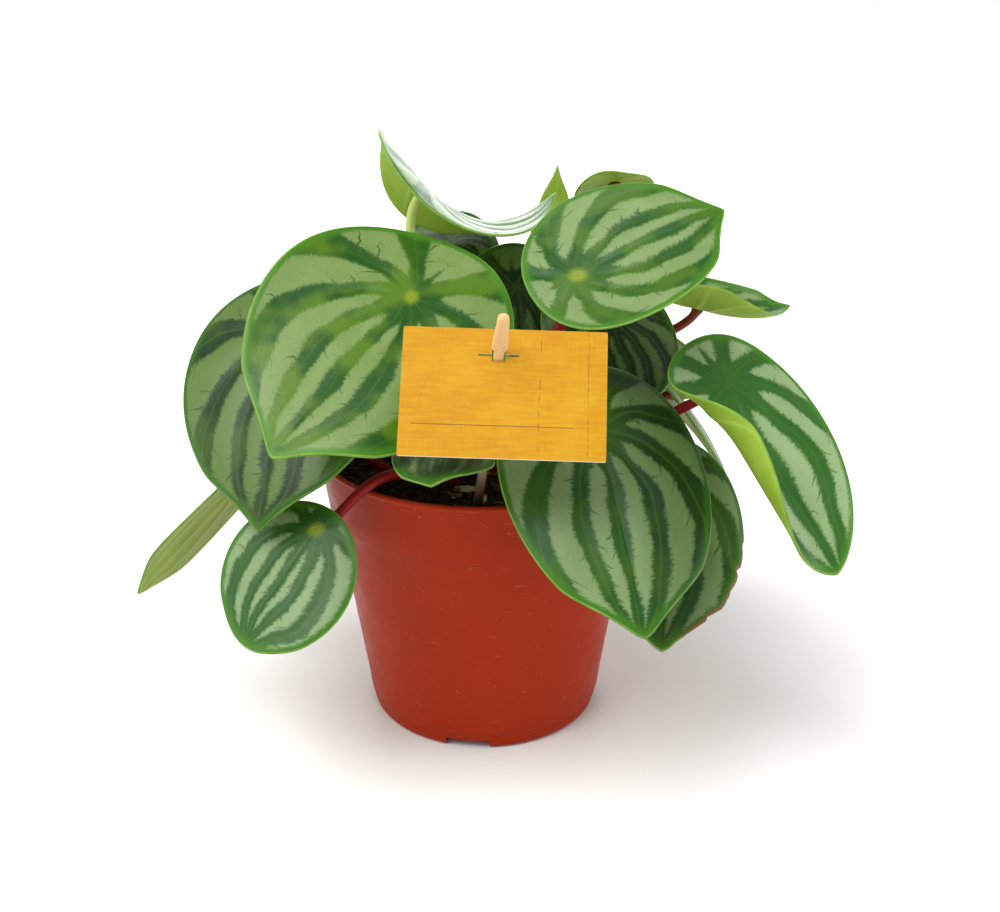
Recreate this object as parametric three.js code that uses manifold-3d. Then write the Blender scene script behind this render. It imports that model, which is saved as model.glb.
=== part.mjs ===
// A watermelon peperomia in a 12 cm plastic nursery pot, with a plant card held by a wooden peg.
// Millimetres, +Z up, and the table at z = 0. While the plant is built, the pot's axis is x = y = 0;
// at the end the whole part is moved so that the middle of its box stands over the origin.
import * as THREE from "three";
import { mergeVertices } from "three/addons/utils/BufferGeometryUtils.js";
import Module from "manifold-3d";

// Pot
const potHeight = 104;
const rimRadius = 60;
const collarBottom = 81.7;
const collarBottomRadius = 56.8;
const bodyTopRadius = 55.2;
const bodyFootRadius = 45;
const bodyFootHeight = 15;
const footRadius = 41;
const footRingInside = 38;
const floorUnderside = 4;
const floorTop = 5.5;
const wall = 1.3;
const edgeRound = 0.4;
const rimLip = 1;
const footFlare = [[1.5, 1], [2.1, 3], [2.4, 6.2], [3, 6.8]];
const floorTuck = 2.5;
const collarEase = 1.4;
const potSides = 48;
const notchWidth = 16;
const notchHeight = 3.8;
const notchAzimuth = -98;
const notchCount = 4;
const drainRadius = 4;
const drainRingRadius = 30;

// Soil
const soilLevel = 98;
const soilMound = 2.5;
const soilBump = 0.8;
const soilRings = [55, 48, 39, 30, 21, 11, 0];

// Leaves and stalks
const bladeThickness = 0.9;
const outlinePoints = 10;
const bladeRings = [0.4, 0.75, 1];
const bendSamples = 16;
const bellySharpness = 0.5;
const noseStart = 0.8;
const rippleHeight = 1.5;
const rippleWaves = 3;
const stalkRadius = 2;
const stalkSides = 6;
const stalkSteps = 9;
const stalkDepth = 7;
const holeSides = 8;
const gap = 0.3;
const holeGap = 0.4;
const holeReach = 9;

// Card and peg
const cardCentre = new THREE.Vector3(7, -90, 153.8);
const cardWidth = 60;
const cardHeight = 39.5;
const cardThickness = 0.8;
const cardCorner = 0.4;
const cardLean = 37.6;
const cardTilt = -2;
const slotAcross = -1.8;
const slotUp = 11.6;
const slotWidth = 12;
const slotHeight = 0.7;
const slotHoleWidth = 4;
const slotHoleHeight = 4;
const pegFoot = new THREE.Vector3(-4, -35.3, 76.3);
const pegHead = new THREE.Vector3(7.2, -91, 177.7);
const pegHeadWidth = 4.9;
const pegTopWidth = 3.4;
const pegShankWidth = 3;
const pegPointWidth = 1.2;
const pegPointLength = 8;
const pegThickness = 2.6;
const pegShoulderAt = 101.6;
const pegShoulderLength = 1.4;
const pegHoleLength = 40;

const degree = Math.PI / 180;
const up = new THREE.Vector3(0, 0, 1);

// One entry a leaf. at is where the stalk meets the blade, heading the way the tip points round the
// pot, pitch how far the tip hangs down, and roll how far the left edge is raised, in degrees. long is
// the blade's length, wide its width as a share of that, and attach how far along it the stalk joins.
// The bends and cups say how far the tip, the base and the two sides curl down, in degrees, the tip
// cups where they change towards the tip, as far out as cupSpan. A low crease folds the blade close to
// its midrib. taper and noseNip say how soon and how sharply the tip narrows. The stalk leaves the soil
// at root, rises by rise and leans by lean, and comes to the blade from stem below it and slide towards
// its base.
const plainLeaf = {
  tipBend: 25, baseBend: 15, cupLeft: 20, cupRight: 20, cupSpan: 1, crease: 1.6, sweep: 0, taper: 0.66,
  noseNip: 0.45, lean: [0, 0],
};
const leaves = [
  {
    name: "front_left_large", at: [-21.5, -46, 170], heading: -131, pitch: 23, roll: -20,
    long: 99.5, wide: 0.82, attach: 0.28, tipBend: 12, baseBend: 0, cupLeft: 48, cupRight: -24, sweep: 5,
    root: [-8, -16], rise: 42, slide: 4, stem: 30,
  },
  {
    name: "left_large", at: [-63, -20, 150], heading: -104, pitch: 42, roll: 6,
    long: 98, wide: 0.85, attach: 0.29, tipBend: 22, baseBend: 12, taper: 0.78,
    root: [-16, -8], rise: 34, slide: 4, stem: 26,
  },
  {
    name: "left_low_small", at: [-54, -58, 95], heading: -144, pitch: 42, roll: -20,
    long: 52.5, wide: 0.96, attach: 0.16, tipBend: 10, baseBend: 4, cupLeft: 14, cupRight: 6, sweep: 2,
    taper: 0.48, noseNip: 0.1, root: [-18, -28], rise: 20, lean: [-14, -26], slide: 22, stem: 4,
  },
  {
    name: "far_left_edge_on", at: [-84, -7, 95.5], heading: -150, pitch: 38, roll: 42,
    long: 81, wide: 0.68, attach: 0.26, tipBend: 5, baseBend: 8, cupLeft: 8, cupRight: 8,
    root: [-32, -20], rise: 30, lean: [-30, -6], slide: 26, stem: 14,
  },
  {
    name: "top_hooded", at: [-19, 2, 196], heading: -3, pitch: 46, roll: -8,
    long: 78, wide: 0.72, attach: 0.32, tipBend: -112, baseBend: -10,
    cupLeft: 116, cupRight: 34, cupLeftTip: 0, cupRightTip: -10,
    root: [-2, -6], rise: 48, slide: 0, stem: 26,
  },
  {
    name: "top_young_folded", at: [24.5, 32, 157], heading: -84, pitch: -86, roll: 0,
    long: 60, wide: 0.3, attach: 0.3, tipBend: -10, baseBend: 5, sweep: 2.5, taper: 0.8,
    root: [8, 10], rise: 34, slide: 2, stem: 10,
  },
  {
    name: "right_upper", at: [31, -42, 176.5], heading: 15, pitch: -25, roll: 30,
    long: 70, wide: 0.87, attach: 0.24, tipBend: 16, baseBend: -5, cupLeft: -8, cupRight: -16, taper: 0.74,
    root: [4, -20], rise: 38, lean: [4, -4], slide: 10, stem: 26,
  },
  {
    name: "right_top_small", at: [47, 22, 194], heading: 90, pitch: 34, roll: 0,
    long: 42, wide: 0.7, attach: 0.32,
    root: [16, 18], rise: 44, slide: 0, stem: 26,
  },
  {
    name: "right_trough", at: [78, 16, 150], heading: -2, pitch: 14, roll: 2,
    long: 55, wide: 0.64, attach: 0.38, tipBend: -40, baseBend: 0, cupLeft: -72, cupRight: -84, crease: 1,
    root: [22, 12], rise: 34, slide: 0, stem: 14,
  },
  {
    name: "right_shaded", at: [43.5, -9.5, 152.5], heading: -62, pitch: 42, roll: 8,
    long: 58, wide: 0.86, attach: 0.38, tipBend: 20, baseBend: 15,
    root: [14, -8], rise: 20, lean: [8, 0], slide: 0, stem: 12,
  },
  {
    name: "right_large_folded", at: [78, -45, 141], heading: -48, pitch: 40, roll: 22,
    long: 89, wide: 0.63, attach: 0.2, tipBend: 20, baseBend: -12, cupLeft: 22, cupRight: -40,
    cupRightTip: -128, cupSpan: 0.35, crease: 1, taper: 0.74, noseNip: 0,
    root: [24, -12], rise: 12, lean: [20, -10], slide: 0, stem: 6,
  },
  {
    name: "front_centre", at: [36, -62, 132], heading: -74, pitch: 38, roll: 3,
    long: 97, wide: 0.7, attach: 0.29, tipBend: 22, baseBend: 20,
    root: [14, -20], rise: 22, slide: 4, stem: 16,
  },
  {
    name: "front_right_low", at: [58, -46, 113], heading: -90, pitch: 38, roll: -8,
    long: 79, wide: 0.76, attach: 0.2, tipBend: 20, baseBend: 24,
    root: [24, -20], rise: 18, lean: [24, -14], slide: 6, stem: 12,
  },
  {
    name: "under_card_small", at: [-10, -76, 133], heading: -98, pitch: 2, roll: 0,
    long: 35, wide: 0.9, attach: 0.22, tipBend: 12, baseBend: 10,
    root: [-10, -28], rise: 14, slide: 6, stem: 10,
  },
  {
    name: "centre_inner", at: [12, 6, 160], heading: -75, pitch: 52, roll: 0,
    long: 58, wide: 0.7, attach: 0.32,
    root: [2, -6], rise: 24, slide: 2, stem: 10,
  },
  {
    name: "top_inner_dark", at: [-12, 28, 171], heading: -95, pitch: 46, roll: 0,
    long: 50, wide: 0.76, attach: 0.3,
    root: [-8, 8], rise: 40, slide: 2, stem: 12,
  },
  {
    name: "back_left_upper", at: [-45, 45, 138], heading: 125, pitch: 34, roll: 0,
    long: 92, wide: 0.82, attach: 0.32,
    root: [-14, 10], rise: 24, slide: 4, stem: 18,
  },
  {
    name: "back_centre_upper", at: [2, 56, 146], heading: 92, pitch: 32, roll: 0,
    long: 88, wide: 0.82, attach: 0.3,
    root: [0, 16], rise: 30, slide: 4, stem: 18,
  },
  {
    name: "back_right_upper", at: [52, 48, 134], heading: 52, pitch: 38, roll: 0,
    long: 84, wide: 0.8, attach: 0.28,
    root: [24, 21], rise: 24, slide: 4, stem: 18,
  },
  {
    name: "back_far_left", at: [-76, 32, 116], heading: 160, pitch: 46, roll: 0,
    long: 82, wide: 0.78, attach: 0.28,
    root: [-22, 8], rise: 16, slide: 4, stem: 16,
  },
  {
    name: "back_right_low", at: [32, 66, 114], heading: 70, pitch: 54, roll: 0,
    long: 82, wide: 0.76, attach: 0.3,
    root: [12, 29], rise: 16, slide: 6, stem: 12,
  },
  {
    name: "back_left_low", at: [-26, 68, 112], heading: 112, pitch: 54, roll: 0,
    long: 82, wide: 0.76, attach: 0.3,
    root: [-8, 22], rise: 16, slide: 6, stem: 12,
  },
  {
    name: "back_far_right", at: [72, 20, 116], heading: 8, pitch: 52, roll: 0,
    long: 74, wide: 0.76, attach: 0.3,
    root: [30, 6], rise: 14, lean: [12, 4], slide: 8, stem: 14,
  },
].map((leaf) => ({ ...plainLeaf, ...leaf }));

function finish(color, roughness) {
  return new THREE.MeshStandardMaterial({ color, roughness, metalness: 0 });
}

const potPlastic = finish(0xa02d19, 0.38);
const peat = finish(0x2a1d14, 0.95);
const leafGreen = finish(0x7d9a6c, 0.4);
const stalkRed = finish(0x8c1a1c, 0.45);
const cardPrint = finish(0xe6a81e, 0.55);
const pegWood = finish(0xdcb382, 0.7);

const wasm = await Module();
wasm.setup();

// Solids for cutting: the shared corners merged, and faces that shrank to a line dropped.
function toSolid(geometry) {
  const bare = geometry.clone();
  bare.deleteAttribute("normal");
  bare.deleteAttribute("uv");
  const merged = mergeVertices(bare, 1e-4);
  const corners = Array.from(merged.index.array);
  const kept = [];
  for (let i = 0; i < corners.length; i += 3) {
    const [a, b, c] = corners.slice(i, i + 3);
    if (a !== b && b !== c && c !== a) kept.push(a, b, c);
  }
  const vertProperties = new Float32Array(merged.attributes.position.array);
  return new wasm.Manifold(new wasm.Mesh({ numProp: 3, vertProperties, triVerts: new Uint32Array(kept) }));
}

function toGeometry(solid) {
  const { vertProperties, triVerts } = solid.getMesh();
  const geometry = new THREE.BufferGeometry();
  geometry.setAttribute("position", new THREE.BufferAttribute(vertProperties, 3));
  geometry.setIndex(new THREE.BufferAttribute(triVerts, 1));
  geometry.computeVertexNormals();
  return geometry;
}

function cutAway(geometry, cutters) {
  const rest = cutters.reduce((solid, cutter) => solid.subtract(toSolid(cutter)), toSolid(geometry));
  return toGeometry(rest);
}

// A profile of [radius, height] pairs turned round the vertical axis.
function turned(profile, sides) {
  const points = profile.map(([radius, height]) => new THREE.Vector2(radius, height));
  return new THREE.LatheGeometry(points, sides).rotateX(Math.PI / 2);
}

function mesh(name, geometry, material) {
  const piece = new THREE.Mesh(geometry, material);
  piece.name = name;
  return piece;
}

// The pot's inside, from its floor to its rim, which the soil follows a gap away.
const insideWall = [
  [bodyFootRadius - floorTuck, floorTop],
  [bodyFootRadius - wall, bodyFootHeight],
  [bodyTopRadius - wall - edgeRound / 2, collarBottom - collarEase],
  [collarBottomRadius - wall, collarBottom + collarEase],
  [rimRadius - wall - edgeRound, potHeight - rimLip / 2],
];

function potProfile() {
  return [
    [0, floorUnderside],
    [footRingInside, floorUnderside],
    [footRingInside + edgeRound, 0],
    [footRadius, 0],
    ...footFlare.map(([outward, height]) => [footRadius + outward, height]),
    [bodyFootRadius, bodyFootHeight],
    [bodyTopRadius, collarBottom],
    [collarBottomRadius, collarBottom],
    [rimRadius - edgeRound, potHeight - 2 * rimLip],
    [rimRadius, potHeight - rimLip],
    [rimRadius - edgeRound, potHeight],
    [rimRadius - wall, potHeight],
    ...insideWall.toReversed(),
    [0, floorTop],
  ];
}

// Round the foot: a low notch through the ring, and a drain hole in the floor behind it.
function drainage() {
  const cutters = [];
  for (let i = 0; i < notchCount; i++) {
    const turn = (notchAzimuth + (360 / notchCount) * i) * degree;
    const notch = new THREE.BoxGeometry(footRadius, notchWidth, 2 * notchHeight);
    cutters.push(notch.translate(footRadius, 0, 0).rotateZ(turn));
    const drain = new THREE.CylinderGeometry(drainRadius, drainRadius, 3 * floorTop, 12);
    cutters.push(drain.rotateX(Math.PI / 2).translate(drainRingRadius, 0, 0).rotateZ(turn));
  }
  return cutters;
}

function pot() {
  return mesh("pot", cutAway(turned(potProfile(), potSides), drainage()), potPlastic);
}

function insideRadius(height) {
  const above = insideWall.findIndex(([, level]) => level > height);
  const [lowRadius, low] = insideWall[above - 1];
  const [highRadius, high] = insideWall[above];
  return lowRadius + ((highRadius - lowRadius) * (height - low)) / (high - low);
}

// The soil's surface: a low mound round the crown, with lumps that fade out towards the wall.
function soilHeight(x, y) {
  const inward = 1 - Math.hypot(x, y) / (rimRadius - 3);
  const lumps = Math.sin(x * 0.31 + 1.3) * Math.cos(y * 0.27 - 0.4) + 0.6 * Math.sin((x + y) * 0.23);
  return soilLevel + soilMound * inward * inward + soilBump * lumps * Math.min(1, 4 * inward);
}

function soil() {
  const edge = soilLevel - 1;
  const wallSide = insideWall.filter(([, height]) => height < edge).map(([r, height]) => [r - gap, height]);
  wallSide[0][1] += gap;
  const profile = [
    [0, floorTop + gap],
    ...wallSide,
    [insideRadius(edge) - gap, edge],
    ...soilRings.map((radius) => [radius, soilLevel]),
  ];
  const block = turned(profile, potSides);
  const place = block.attributes.position;
  for (let i = 0; i < place.count; i++) {
    const [x, y, z] = [place.getX(i), place.getY(i), place.getZ(i)];
    if (z > edge + 0.5) place.setZ(i, soilHeight(x, y));
  }
  return mesh("potting_soil", cutAway(block, [...leaves.map(stalkHole), pegHole()]), peat);
}

// Half the blade's width at s, which runs from 0 at its base to 1 at its tip, as a share of the widest.
function halfWidth(leaf, s) {
  const widest = bellySharpness / (bellySharpness + leaf.taper);
  const most = widest ** bellySharpness * (1 - widest) ** leaf.taper;
  const nose = THREE.MathUtils.smoothstep(s, noseStart, 1);
  return ((s ** bellySharpness * (1 - s) ** leaf.taper) / most) * (1 - leaf.noseNip * nose);
}

// The blade's outline, flat: down one side from base to tip and back up the other.
function bladeOutline(leaf) {
  const base = leaf.attach * leaf.long;
  const half = (leaf.wide * leaf.long) / 2;
  const side = [];
  for (let i = 0; i <= outlinePoints; i++) {
    const s = (1 - Math.cos((Math.PI * i) / outlinePoints)) / 2;
    side.push([s * leaf.long - base, halfWidth(leaf, s) * half]);
  }
  const right = side.map(([x, y]) => [x, -y]);
  const left = side.slice(1, -1).toReversed();
  return [...right, ...left];
}

function averaged(value) {
  let sum = 0;
  for (let i = 0; i < bendSamples; i++) sum += value((i + 0.5) / bendSamples);
  return sum / bendSamples;
}

// Where the flat point x, y of a blade lies once the blade is bent along, cupped across and rippled.
function bent(leaf, x, y) {
  const base = leaf.attach * leaf.long;
  const tip = leaf.long - base;
  const half = (leaf.wide * leaf.long) / 2;
  const tipTurn = (u) => leaf.tipBend * degree * ((u * x) / tip) ** 1.5;
  const baseTurn = (u) => (leaf.baseBend * degree * u * x) / base;
  const turn = x > 0 ? tipTurn : baseTurn;
  const along = THREE.MathUtils.smoothstep(x, -base, tip * leaf.cupSpan);
  const cupFrom = y > 0 ? leaf.cupLeft : leaf.cupRight;
  const cupTo = (y > 0 ? leaf.cupLeftTip : leaf.cupRightTip) ?? cupFrom;
  const cup = THREE.MathUtils.lerp(cupFrom, cupTo, along) * degree;
  const fold = (u) => cup * ((u * Math.abs(y)) / half) ** leaf.crease;
  const out = Math.hypot(x / tip, y / half);
  const wave = rippleHeight * Math.sin(rippleWaves * Math.atan2(y / half, x / tip)) * Math.min(out, 1.3) ** 2;
  const across = averaged((u) => Math.cos(fold(u))) * y + leaf.sweep * (x / tip) ** 2;
  const lift = wave - averaged((u) => Math.sin(fold(u))) * Math.abs(y);
  return new THREE.Vector3(
    averaged((u) => Math.cos(turn(u))) * x + lift * Math.sin(turn(1)),
    across,
    lift * Math.cos(turn(1)) - averaged((u) => Math.sin(turn(u))) * x,
  );
}

function bladeNormal(leaf, x, y) {
  const step = 0.5;
  const alongX = bent(leaf, x + step, y).sub(bent(leaf, x - step, y));
  const alongY = bent(leaf, x, y + step).sub(bent(leaf, x, y - step));
  return alongX.cross(alongY).normalize();
}

// A blade is a fan of rings round the place where the stalk joins, with the same triangles on its
// underside as on its top, and a narrow band round its edge.
function bladeGeometry(leaf) {
  const outline = bladeOutline(leaf);
  const count = outline.length;
  const flat = [[0, 0], ...bladeRings.flatMap((ring) => outline.map(([x, y]) => [ring * x, ring * y]))];
  const faces = [];
  for (let i = 0; i < count; i++) {
    const next = (i + 1) % count;
    faces.push([0, 1 + i, 1 + next]);
    for (let ring = 1; ring < bladeRings.length; ring++) {
      const inner = 1 + (ring - 1) * count;
      const outer = inner + count;
      faces.push([inner + i, outer + i, outer + next], [inner + i, outer + next, inner + next]);
    }
  }
  const points = [];
  for (const side of [1, -1]) {
    for (const [x, y] of flat) {
      const offset = bladeNormal(leaf, x, y).multiplyScalar((side * bladeThickness) / 2);
      points.push(...bent(leaf, x, y).add(offset).toArray());
    }
  }
  const under = flat.length;
  const index = faces.flatMap(([a, b, c]) => [a, b, c, under + a, under + c, under + b]);
  const edge = under - count;
  for (let i = 0; i < count; i++) {
    const here = edge + i;
    const next = edge + ((i + 1) % count);
    index.push(here, under + here, under + next, here, under + next, next);
  }
  const geometry = new THREE.BufferGeometry();
  geometry.setAttribute("position", new THREE.Float32BufferAttribute(points, 3));
  geometry.setIndex(index);
  geometry.computeVertexNormals();
  return geometry;
}

function bladeTurn(leaf) {
  return new THREE.Euler(leaf.roll * degree, leaf.pitch * degree, leaf.heading * degree, "ZYX");
}

function blade(leaf) {
  const piece = mesh(`leaf_${leaf.name}`, bladeGeometry(leaf), leafGreen);
  piece.position.set(...leaf.at);
  piece.rotation.copy(bladeTurn(leaf));
  return piece;
}

// The places that a stalk goes through: its foot in the soil, where it comes out, and the two
// handles and the end of its curve, which stops a gap short of the blade's underside.
function stalkPlaces(leaf) {
  const normal = up.clone().applyEuler(bladeTurn(leaf));
  const baseward = new THREE.Vector3(-1, 0, 0).applyEuler(bladeTurn(leaf));
  const slant = leaf.slide / Math.hypot(leaf.slide, leaf.stem);
  const short = bladeThickness / 2 + gap + stalkRadius * slant;
  const end = new THREE.Vector3(...leaf.at).addScaledVector(normal, -short);
  const before = end.clone().addScaledVector(baseward, leaf.slide).addScaledVector(normal, -leaf.stem);
  const out = new THREE.Vector3(...leaf.root, soilLevel + 1);
  const after = out.clone().add(new THREE.Vector3(...leaf.lean, leaf.rise));
  const rising = after.clone().sub(out).normalize();
  const foot = out.clone().addScaledVector(rising, -stalkDepth);
  return { foot, out, after, before, end, rising };
}

function stalk(leaf) {
  const { foot, out, after, before, end } = stalkPlaces(leaf);
  const route = new THREE.CurvePath();
  route.add(new THREE.LineCurve3(foot, out));
  route.add(new THREE.CubicBezierCurve3(out, after, before, end));
  const section = new THREE.Shape();
  for (let i = 0; i < stalkSides; i++) {
    const angle = (2 * Math.PI * i) / stalkSides;
    const corner = [stalkRadius * Math.cos(angle), stalkRadius * Math.sin(angle)];
    if (i === 0) section.moveTo(...corner);
    else section.lineTo(...corner);
  }
  const geometry = new THREE.ExtrudeGeometry(section, { steps: stalkSteps, extrudePath: route });
  return mesh(`stalk_${leaf.name}`, geometry, stalkRed);
}

// A plain round hole for a stalk, slanted as the stalk stands.
function stalkHole(leaf) {
  const { out, rising } = stalkPlaces(leaf);
  const radius = (stalkRadius + holeGap) / Math.cos(Math.PI / holeSides);
  const deep = stalkDepth + gap;
  const hole = new THREE.CylinderGeometry(radius, radius, deep + holeReach, holeSides);
  hole.translate(0, (holeReach - deep) / 2, 0);
  hole.applyQuaternion(new THREE.Quaternion().setFromUnitVectors(new THREE.Vector3(0, 1, 0), rising));
  return hole.translate(...out.toArray());
}

// The card leans back, held by the peg whose shank passes through its slit, under the peg's head. In
// its own frame x runs along its width, y up its face and z out of its printed side.
function cardOutline() {
  const [right, top, corner] = [cardWidth / 2, cardHeight / 2, cardCorner];
  const outline = new THREE.Shape();
  outline.moveTo(-right + corner, -top);
  outline.lineTo(right - corner, -top);
  outline.quadraticCurveTo(right, -top, right, -top + corner);
  outline.lineTo(right, top - corner);
  outline.quadraticCurveTo(right, top, right - corner, top);
  outline.lineTo(-right + corner, top);
  outline.quadraticCurveTo(-right, top, -right, top - corner);
  outline.lineTo(-right, -top + corner);
  outline.quadraticCurveTo(-right, -top, -right + corner, -top);
  return outline;
}

function card() {
  const outline = cardOutline();
  const slot = new THREE.Path();
  const [left, right] = [slotAcross - slotWidth / 2, slotAcross + slotWidth / 2];
  const [holeLeft, holeRight] = [slotAcross - slotHoleWidth / 2, slotAcross + slotHoleWidth / 2];
  const [low, high] = [slotUp - slotHeight / 2, slotUp + slotHeight / 2];
  const [holeLow, holeHigh] = [slotUp - slotHoleHeight / 2, slotUp + slotHoleHeight / 2];
  slot.moveTo(left, low);
  slot.lineTo(left, high);
  slot.lineTo(holeLeft, high);
  slot.lineTo(holeLeft, holeHigh);
  slot.lineTo(holeRight, holeHigh);
  slot.lineTo(holeRight, high);
  slot.lineTo(right, high);
  slot.lineTo(right, low);
  slot.lineTo(holeRight, low);
  slot.lineTo(holeRight, holeLow);
  slot.lineTo(holeLeft, holeLow);
  slot.lineTo(holeLeft, low);
  outline.holes.push(slot);
  const options = { depth: cardThickness, bevelEnabled: false, curveSegments: 3 };
  const sheet = new THREE.ExtrudeGeometry(outline, options).translate(0, 0, -cardThickness / 2);
  const piece = mesh("plant_card", sheet, cardPrint);
  piece.position.copy(cardCentre);
  piece.rotation.set((90 - cardLean) * degree, 0, cardTilt * degree);
  return piece;
}

// The peg's frame has y along the peg from its point in the soil to its round head.
function pegPlace() {
  const along = pegHead.clone().sub(pegFoot).normalize();
  const flat = new THREE.Vector3(1, 0, 0).cross(along).normalize();
  const across = along.clone().cross(flat);
  return new THREE.Matrix4().makeBasis(across, along, flat).setPosition(pegFoot);
}

function peg() {
  const long = pegHead.distanceTo(pegFoot);
  const [headHalf, topHalf] = [pegHeadWidth / 2, pegTopWidth / 2];
  const [shankHalf, pointHalf] = [pegShankWidth / 2, pegPointWidth / 2];
  const shoulderTop = pegShoulderAt + pegShoulderLength;
  const outline = new THREE.Shape();
  outline.moveTo(-pointHalf, 0);
  outline.lineTo(pointHalf, 0);
  outline.lineTo(shankHalf, pegPointLength);
  outline.lineTo(shankHalf, pegShoulderAt);
  outline.lineTo(headHalf, shoulderTop);
  outline.lineTo(topHalf, long - topHalf);
  outline.absarc(0, long - topHalf, topHalf, 0, Math.PI);
  outline.lineTo(-headHalf, shoulderTop);
  outline.lineTo(-shankHalf, pegShoulderAt);
  outline.lineTo(-shankHalf, pegPointLength);
  const options = { depth: pegThickness, bevelEnabled: false, curveSegments: 8 };
  const stick = new THREE.ExtrudeGeometry(outline, options).translate(0, 0, -pegThickness / 2);
  const piece = mesh("card_peg", stick, pegWood);
  piece.applyMatrix4(pegPlace());
  return piece;
}

function pegHole() {
  const [wide, thick] = [pegShankWidth + 2 * holeGap, pegThickness + 2 * holeGap];
  const hole = new THREE.BoxGeometry(wide, pegHoleLength, thick);
  return hole.translate(0, pegHoleLength / 2 - gap, 0).applyMatrix4(pegPlace());
}

const plant = new THREE.Group();
plant.add(pot(), soil(), ...leaves.map(stalk), ...leaves.map(blade), card(), peg());

// The box's middle stands over the origin, and the pot's foot on z = 0.
const box = new THREE.Box3().setFromObject(plant, true);
const middle = box.getCenter(new THREE.Vector3());
plant.position.set(-middle.x, -middle.y, 0);

const part = new THREE.Group();
part.add(plant);

export default part;
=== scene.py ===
# The looks of a potted watermelon peperomia. Shapes are worked out in millimetres round the pot's axis,
# with the table at zero and +Z up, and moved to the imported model's place in metres when a mesh is made.
import math
import random

import bpy
import numpy as np
from mathutils import Euler, Matrix, Vector


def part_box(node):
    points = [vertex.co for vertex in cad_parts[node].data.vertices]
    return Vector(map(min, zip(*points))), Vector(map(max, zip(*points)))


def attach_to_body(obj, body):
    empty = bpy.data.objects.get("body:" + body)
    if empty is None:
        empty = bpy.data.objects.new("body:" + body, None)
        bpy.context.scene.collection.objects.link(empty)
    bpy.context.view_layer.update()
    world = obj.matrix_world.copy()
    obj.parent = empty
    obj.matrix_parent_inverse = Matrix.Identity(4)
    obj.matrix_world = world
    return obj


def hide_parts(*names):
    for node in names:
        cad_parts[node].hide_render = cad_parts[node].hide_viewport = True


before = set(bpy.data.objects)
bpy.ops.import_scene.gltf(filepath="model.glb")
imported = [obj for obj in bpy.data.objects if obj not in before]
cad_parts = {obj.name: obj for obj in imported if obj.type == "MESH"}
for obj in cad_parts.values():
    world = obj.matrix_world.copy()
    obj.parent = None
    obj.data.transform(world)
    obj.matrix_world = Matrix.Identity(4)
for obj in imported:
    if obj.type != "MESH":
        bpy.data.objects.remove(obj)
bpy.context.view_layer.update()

MM = 0.001
BODY = "root"

# The photograph's camera, fitted to the pot
CAMERA_PLACE = (6, -460, 283)
CAMERA_DOWN = 21.9
CAMERA_LENS = 48.6
CAMERA_SENSOR = 36

# Pot
POT_HEIGHT = 104
RIM_RADIUS = 60
COLLAR_BOTTOM = 81.7
COLLAR_BOTTOM_RADIUS = 56.8
BODY_TOP_RADIUS = 55.2
BODY_FOOT_RADIUS = 45
BODY_FOOT_HEIGHT = 15
FOOT_RADIUS = 41
FOOT_RING_INSIDE = 38
FLOOR_UNDERSIDE = 4
FLOOR_TOP = 5.5
WALL = 1.3
EDGE_ROUND = 0.4
RIM_LIP = 1
FOOT_FLARE = [(1.5, 1), (2.1, 3), (2.4, 6.2), (3, 6.8)]
FLOOR_TUCK = 2.5
COLLAR_EASE = 1.4
CORNER_RADIUS = 0.45
CORNER_SHARE = 0.45
CORNER_STEPS = 3
LONGEST_STRETCH = 9
POT_SIDES = 192
POT_SHARP = 32
NOTCH_WIDTH = 16
NOTCH_HEIGHT = 3.8
NOTCH_AZIMUTH = -98
NOTCH_COUNT = 4
DRAIN_RADIUS = 4
DRAIN_RING_RADIUS = 30
DRAIN_SIDES = 24

# Soil: its level, its mound, its slow lumps, and its fine roughness as crossed waves
SOIL_LEVEL = 98
SOIL_MOUND = 2.5
SOIL_GAP = 0.3
SOIL_SIDES = 220
SOIL_RINGS = 60
SOIL_RIM = 3
SOIL_EDGE_DROP = 1
SOIL_EDGE_LIP = 0.2
LUMP_HEIGHT = 0.8
LUMP_FADE = 4
LUMP_PITCHES = (0.31, 0.27, 0.23)
LUMP_SHIFTS = (1.3, -0.4)
LUMPS_ASLANT = 0.6
ROUGH_WAVES = 7
ROUGH_TURN = 1.1
ROUGH_PITCH = 0.5
ROUGH_GROWTH = 1.45
ROUGH_CROSS = 0.8
ROUGH_HEIGHT = 0.55
ROUGH_FALL = 1.3
ROUGH_FADE = 12

# Crumbs: kind is a number from 0 to 1, dark ones first, then brown ones, bark chips and pale grains
CRUMB_COUNT = 1300
CRUMB_SEED = 41
CRUMB_MARGIN = 5
CRUMB_SIZE = (0.45, 1.5)
CRUMB_STRETCH = [(0.7, 1.5), (0.6, 1.1), (0.4, 0.8)]
CRUMB_ROUGH = (0.75, 1.25)
CRUMB_TILT = (-0.5, 0.5)
CRUMB_SPIN = (0, 6.3)
CRUMB_LIFT = 0.25
CHIP_SIZE = (1.2, 2.6)
CHIP_STRETCH = np.array([1.8, 0.8, 0.35])
BROWN_FROM = 0.72
CHIP_FROM = 0.93
PALE_FROM = 0.975
DARK_TINTS = (0, 0.55)
BROWN_TINTS = (0.55, 0.8)

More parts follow.
